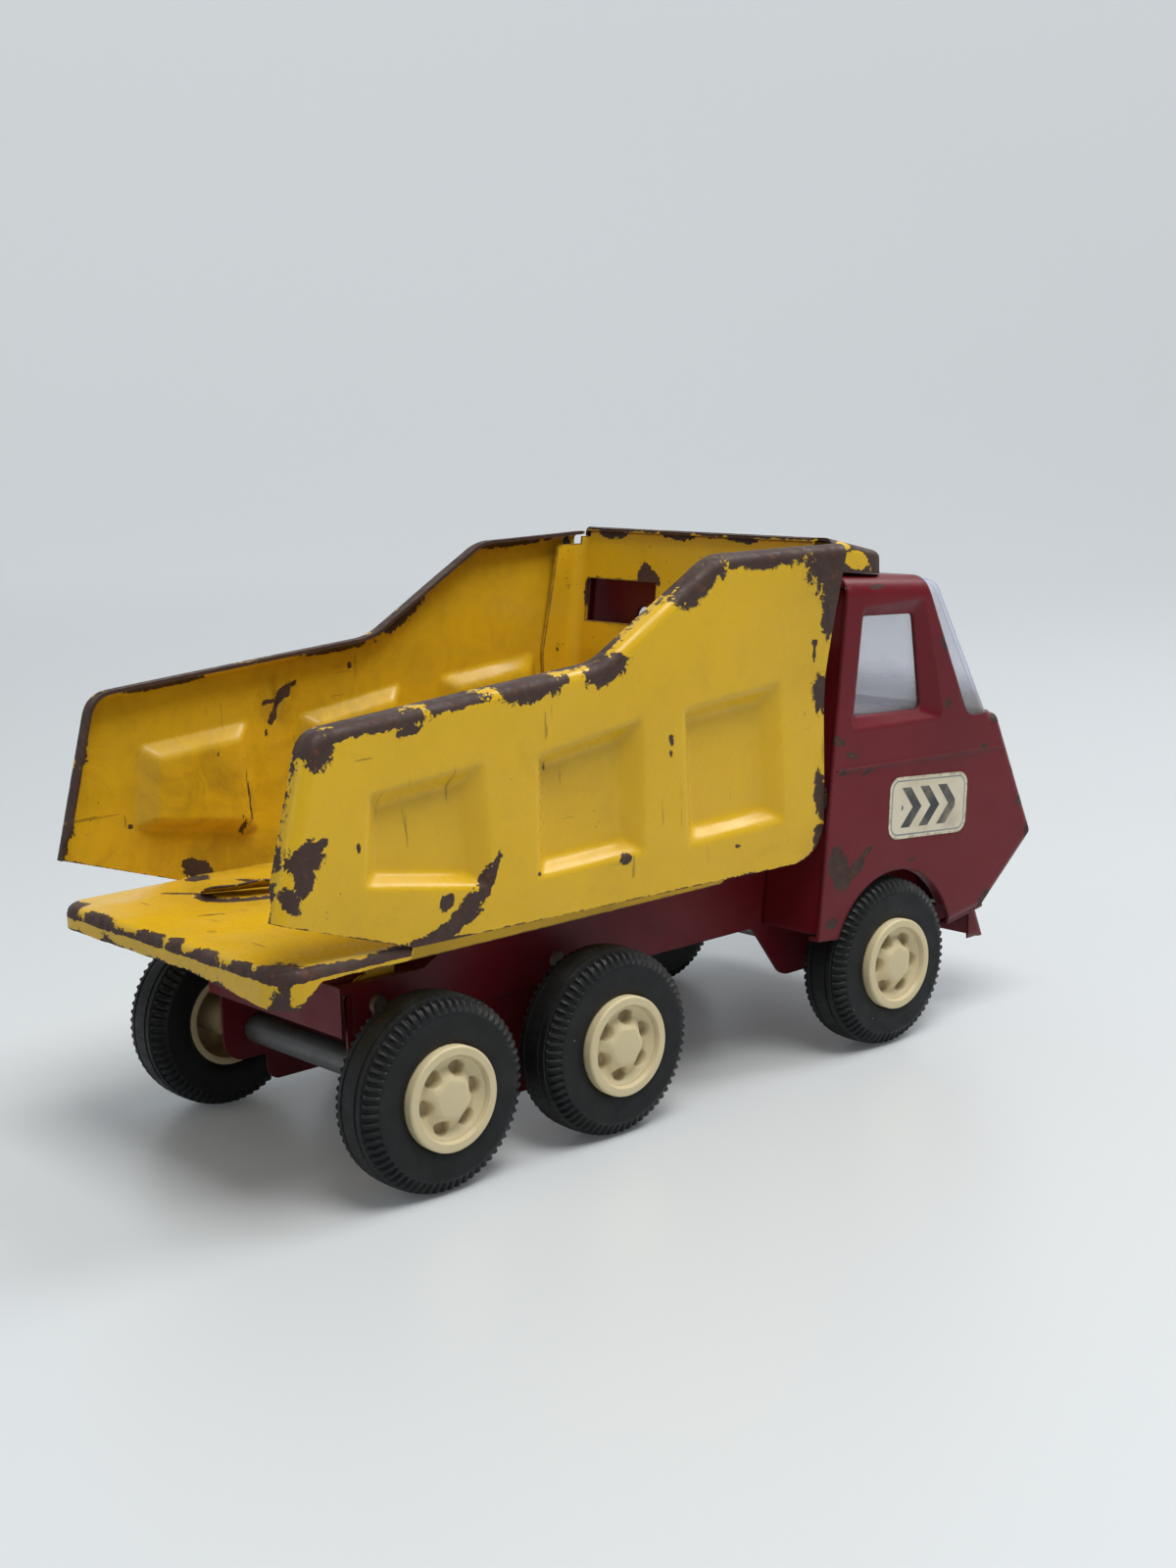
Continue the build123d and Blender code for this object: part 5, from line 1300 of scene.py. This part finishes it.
# ---- stage -------------------------------------------------------------------------
class TRUCK_OT_stage(bpy.types.Operator):
    """Build the pale floor, the lights and the camera"""

    bl_idname = "truck.stage"
    bl_label = "Stage"

    def execute(self, context):
        stage = context.scene.truck_stage
        scene = context.scene
        material, tree, shader = finish("Pale Floor", roughness=0.35)
        where = tree.add("ShaderNodeTexCoord").outputs["Object"]
        base = tuple(stage.floor)
        tone = tree.mix(tree.noise(where, 1.2, 2.0), base, tuple(c * 0.97 for c in base))
        tree.feed(shader["Base Color"], tone)
        rough = tree.remap(tree.noise(where, 0.8, 2.0), 0.3, 0.7, 0.34, 0.38)
        tree.feed(shader["Roughness"], rough)
        away = tree.add("ShaderNodeSeparateXYZ", {"Vector": where}).outputs["X"]
        lit = tree.remap(away, 0.3, 2.9, 0.10, 1.0, smooth=False)
        tree.feed(shader["Emission Color"], tree.mix(lit, (0.0, 0.0, 0.0), base))
        shader["Emission Strength"].default_value = stage.glow
        # floor that curves up into a backdrop
        rows, half, near, bend = 40, 5.0, -3.0, 1.6
        outline = []
        for r in range(rows):
            t = r / (rows - 1)
            if t < 0.4:
                outline.append((near + t / 0.4 * 4.4, 0.0))
            else:
                a = (t - 0.4) / 0.6 * math.pi / 2
                outline.append((1.4 + bend * math.sin(a), bend - bend * math.cos(a)))
        outline.append((3.0, 6.0))
        points = [(x, y, z) for x, z in outline for y in (-half, half)]
        data = bpy.data.meshes.new("floor")
        data.from_pydata(points, [], grid_faces(len(outline), 2))
        data.update()
        data.polygons.foreach_set("use_smooth", [True] * len(data.polygons))
        data.materials.append(material)
        floor = bpy.data.objects.new("floor", data)
        floor.rotation_euler.z = math.pi / 2 + stage.azimuth
        scene.collection.objects.link(floor)

        world = bpy.data.worlds.new("Soft Room")
        scene.world = world
        world.use_nodes = True
        room = Tree(world.node_tree)
        world.node_tree.nodes.clear()
        sky = room.add("ShaderNodeBackground", {"Color": (0.80, 0.87, 0.92), "Strength": 0.24})
        out = room.add("ShaderNodeOutputWorld")
        room.tree.links.new(sky.outputs[0], out.inputs[0])

        def lamp(name, at, size, power, colour, aim=(0, 0, 0.06)):
            light = bpy.data.lights.new(name, "AREA")
            light.shape = "RECTANGLE"
            light.size, light.size_y = size
            light.energy = power
            light.color = colour
            made = bpy.data.objects.new(name, light)
            made.location = at
            made.rotation_euler = (Vector(aim) - Vector(at)).to_track_quat("-Z", "Y").to_euler()
            scene.collection.objects.link(made)

        lamp("overhead", (-0.08, -0.42, 1.15), (0.6, 0.6), 10.0, (1.0, 0.985, 0.96))
        lamp("right_window", (-0.5, -1.15, 0.75), (0.8, 0.6), 0.7, (0.95, 0.98, 1.0))
        lamp("rear_fill", (-1.15, 0.35, 0.6), (0.8, 0.7), 1.8, (0.94, 0.97, 1.0))
        lamp("front_glow", (0.80, -0.24, 0.98), (0.45, 0.45), 6.0, (0.98, 0.99, 1.0))

        camera_data = bpy.data.cameras.new("camera")
        camera_data.lens = stage.lens
        camera_data.sensor_width = 36.0
        camera_data.sensor_fit = "AUTO"
        camera_data.clip_start, camera_data.clip_end = 0.01, 50.0
        camera = bpy.data.objects.new("camera", camera_data)
        az, el, roll = stage.azimuth, stage.elevation, stage.roll
        back = Vector((math.sin(az) * math.cos(el), -math.cos(az) * math.cos(el), math.sin(el)))
        right = (-back).cross(Vector((0, 0, 1))).normalized()
        up = right.cross(-back)
        right_now = math.cos(roll) * right + math.sin(roll) * up
        up_now = -math.sin(roll) * right + math.cos(roll) * up
        turn = camera.matrix_world.to_3x3()
        turn.col[0], turn.col[1], turn.col[2] = right_now, up_now, back
        place = turn.to_4x4()
        place.translation = Vector(stage.camera_at)
        camera.matrix_world = place
        scene.collection.objects.link(camera)
        scene.camera = camera
        scene.view_settings.view_transform = "Standard"
        return {"FINISHED"}


# ---- panel and registration --------------------------------------------------------
STEPS = (TRUCK_OT_finishes, TRUCK_OT_bed, TRUCK_OT_wheels, TRUCK_OT_labels, TRUCK_OT_stage)
SETTINGS = {
    "truck_paint": TRUCK_PG_paint, "truck_wheels": TRUCK_PG_wheels,
    "truck_bed": TRUCK_PG_bed, "truck_stage": TRUCK_PG_stage,
}


class TRUCK_PT_sidebar(bpy.types.Panel):
    """Settings and building steps of the dump truck"""

    bl_idname = "TRUCK_PT_sidebar"
    bl_label = "Dump Truck"
    bl_space_type = "VIEW_3D"
    bl_region_type = "UI"
    bl_category = "Dump Truck"

    def draw(self, context):
        for name in SETTINGS:
            box = self.layout.box()
            group = getattr(context.scene, name)
            box.label(text=group.bl_rna.name)
            for key in group.__annotations__:
                box.prop(group, key)
        for step in STEPS:
            self.layout.operator(step.bl_idname)


CLASSES = (*SETTINGS.values(), *STEPS, TRUCK_PT_sidebar)


def register():
    for each in CLASSES:
        bpy.utils.register_class(each)
    for name, group in SETTINGS.items():
        setattr(bpy.types.Scene, name, bpy.props.PointerProperty(type=group))


def unregister():
    for name in SETTINGS:
        delattr(bpy.types.Scene, name)
    for each in reversed(CLASSES):
        bpy.utils.unregister_class(each)


def main():
    """Build everything in order."""
    register()
    for step in ("finishes", "bed", "wheels", "labels", "stage"):
        getattr(bpy.ops.truck, step)()


if __name__ == "__main__":
    main()
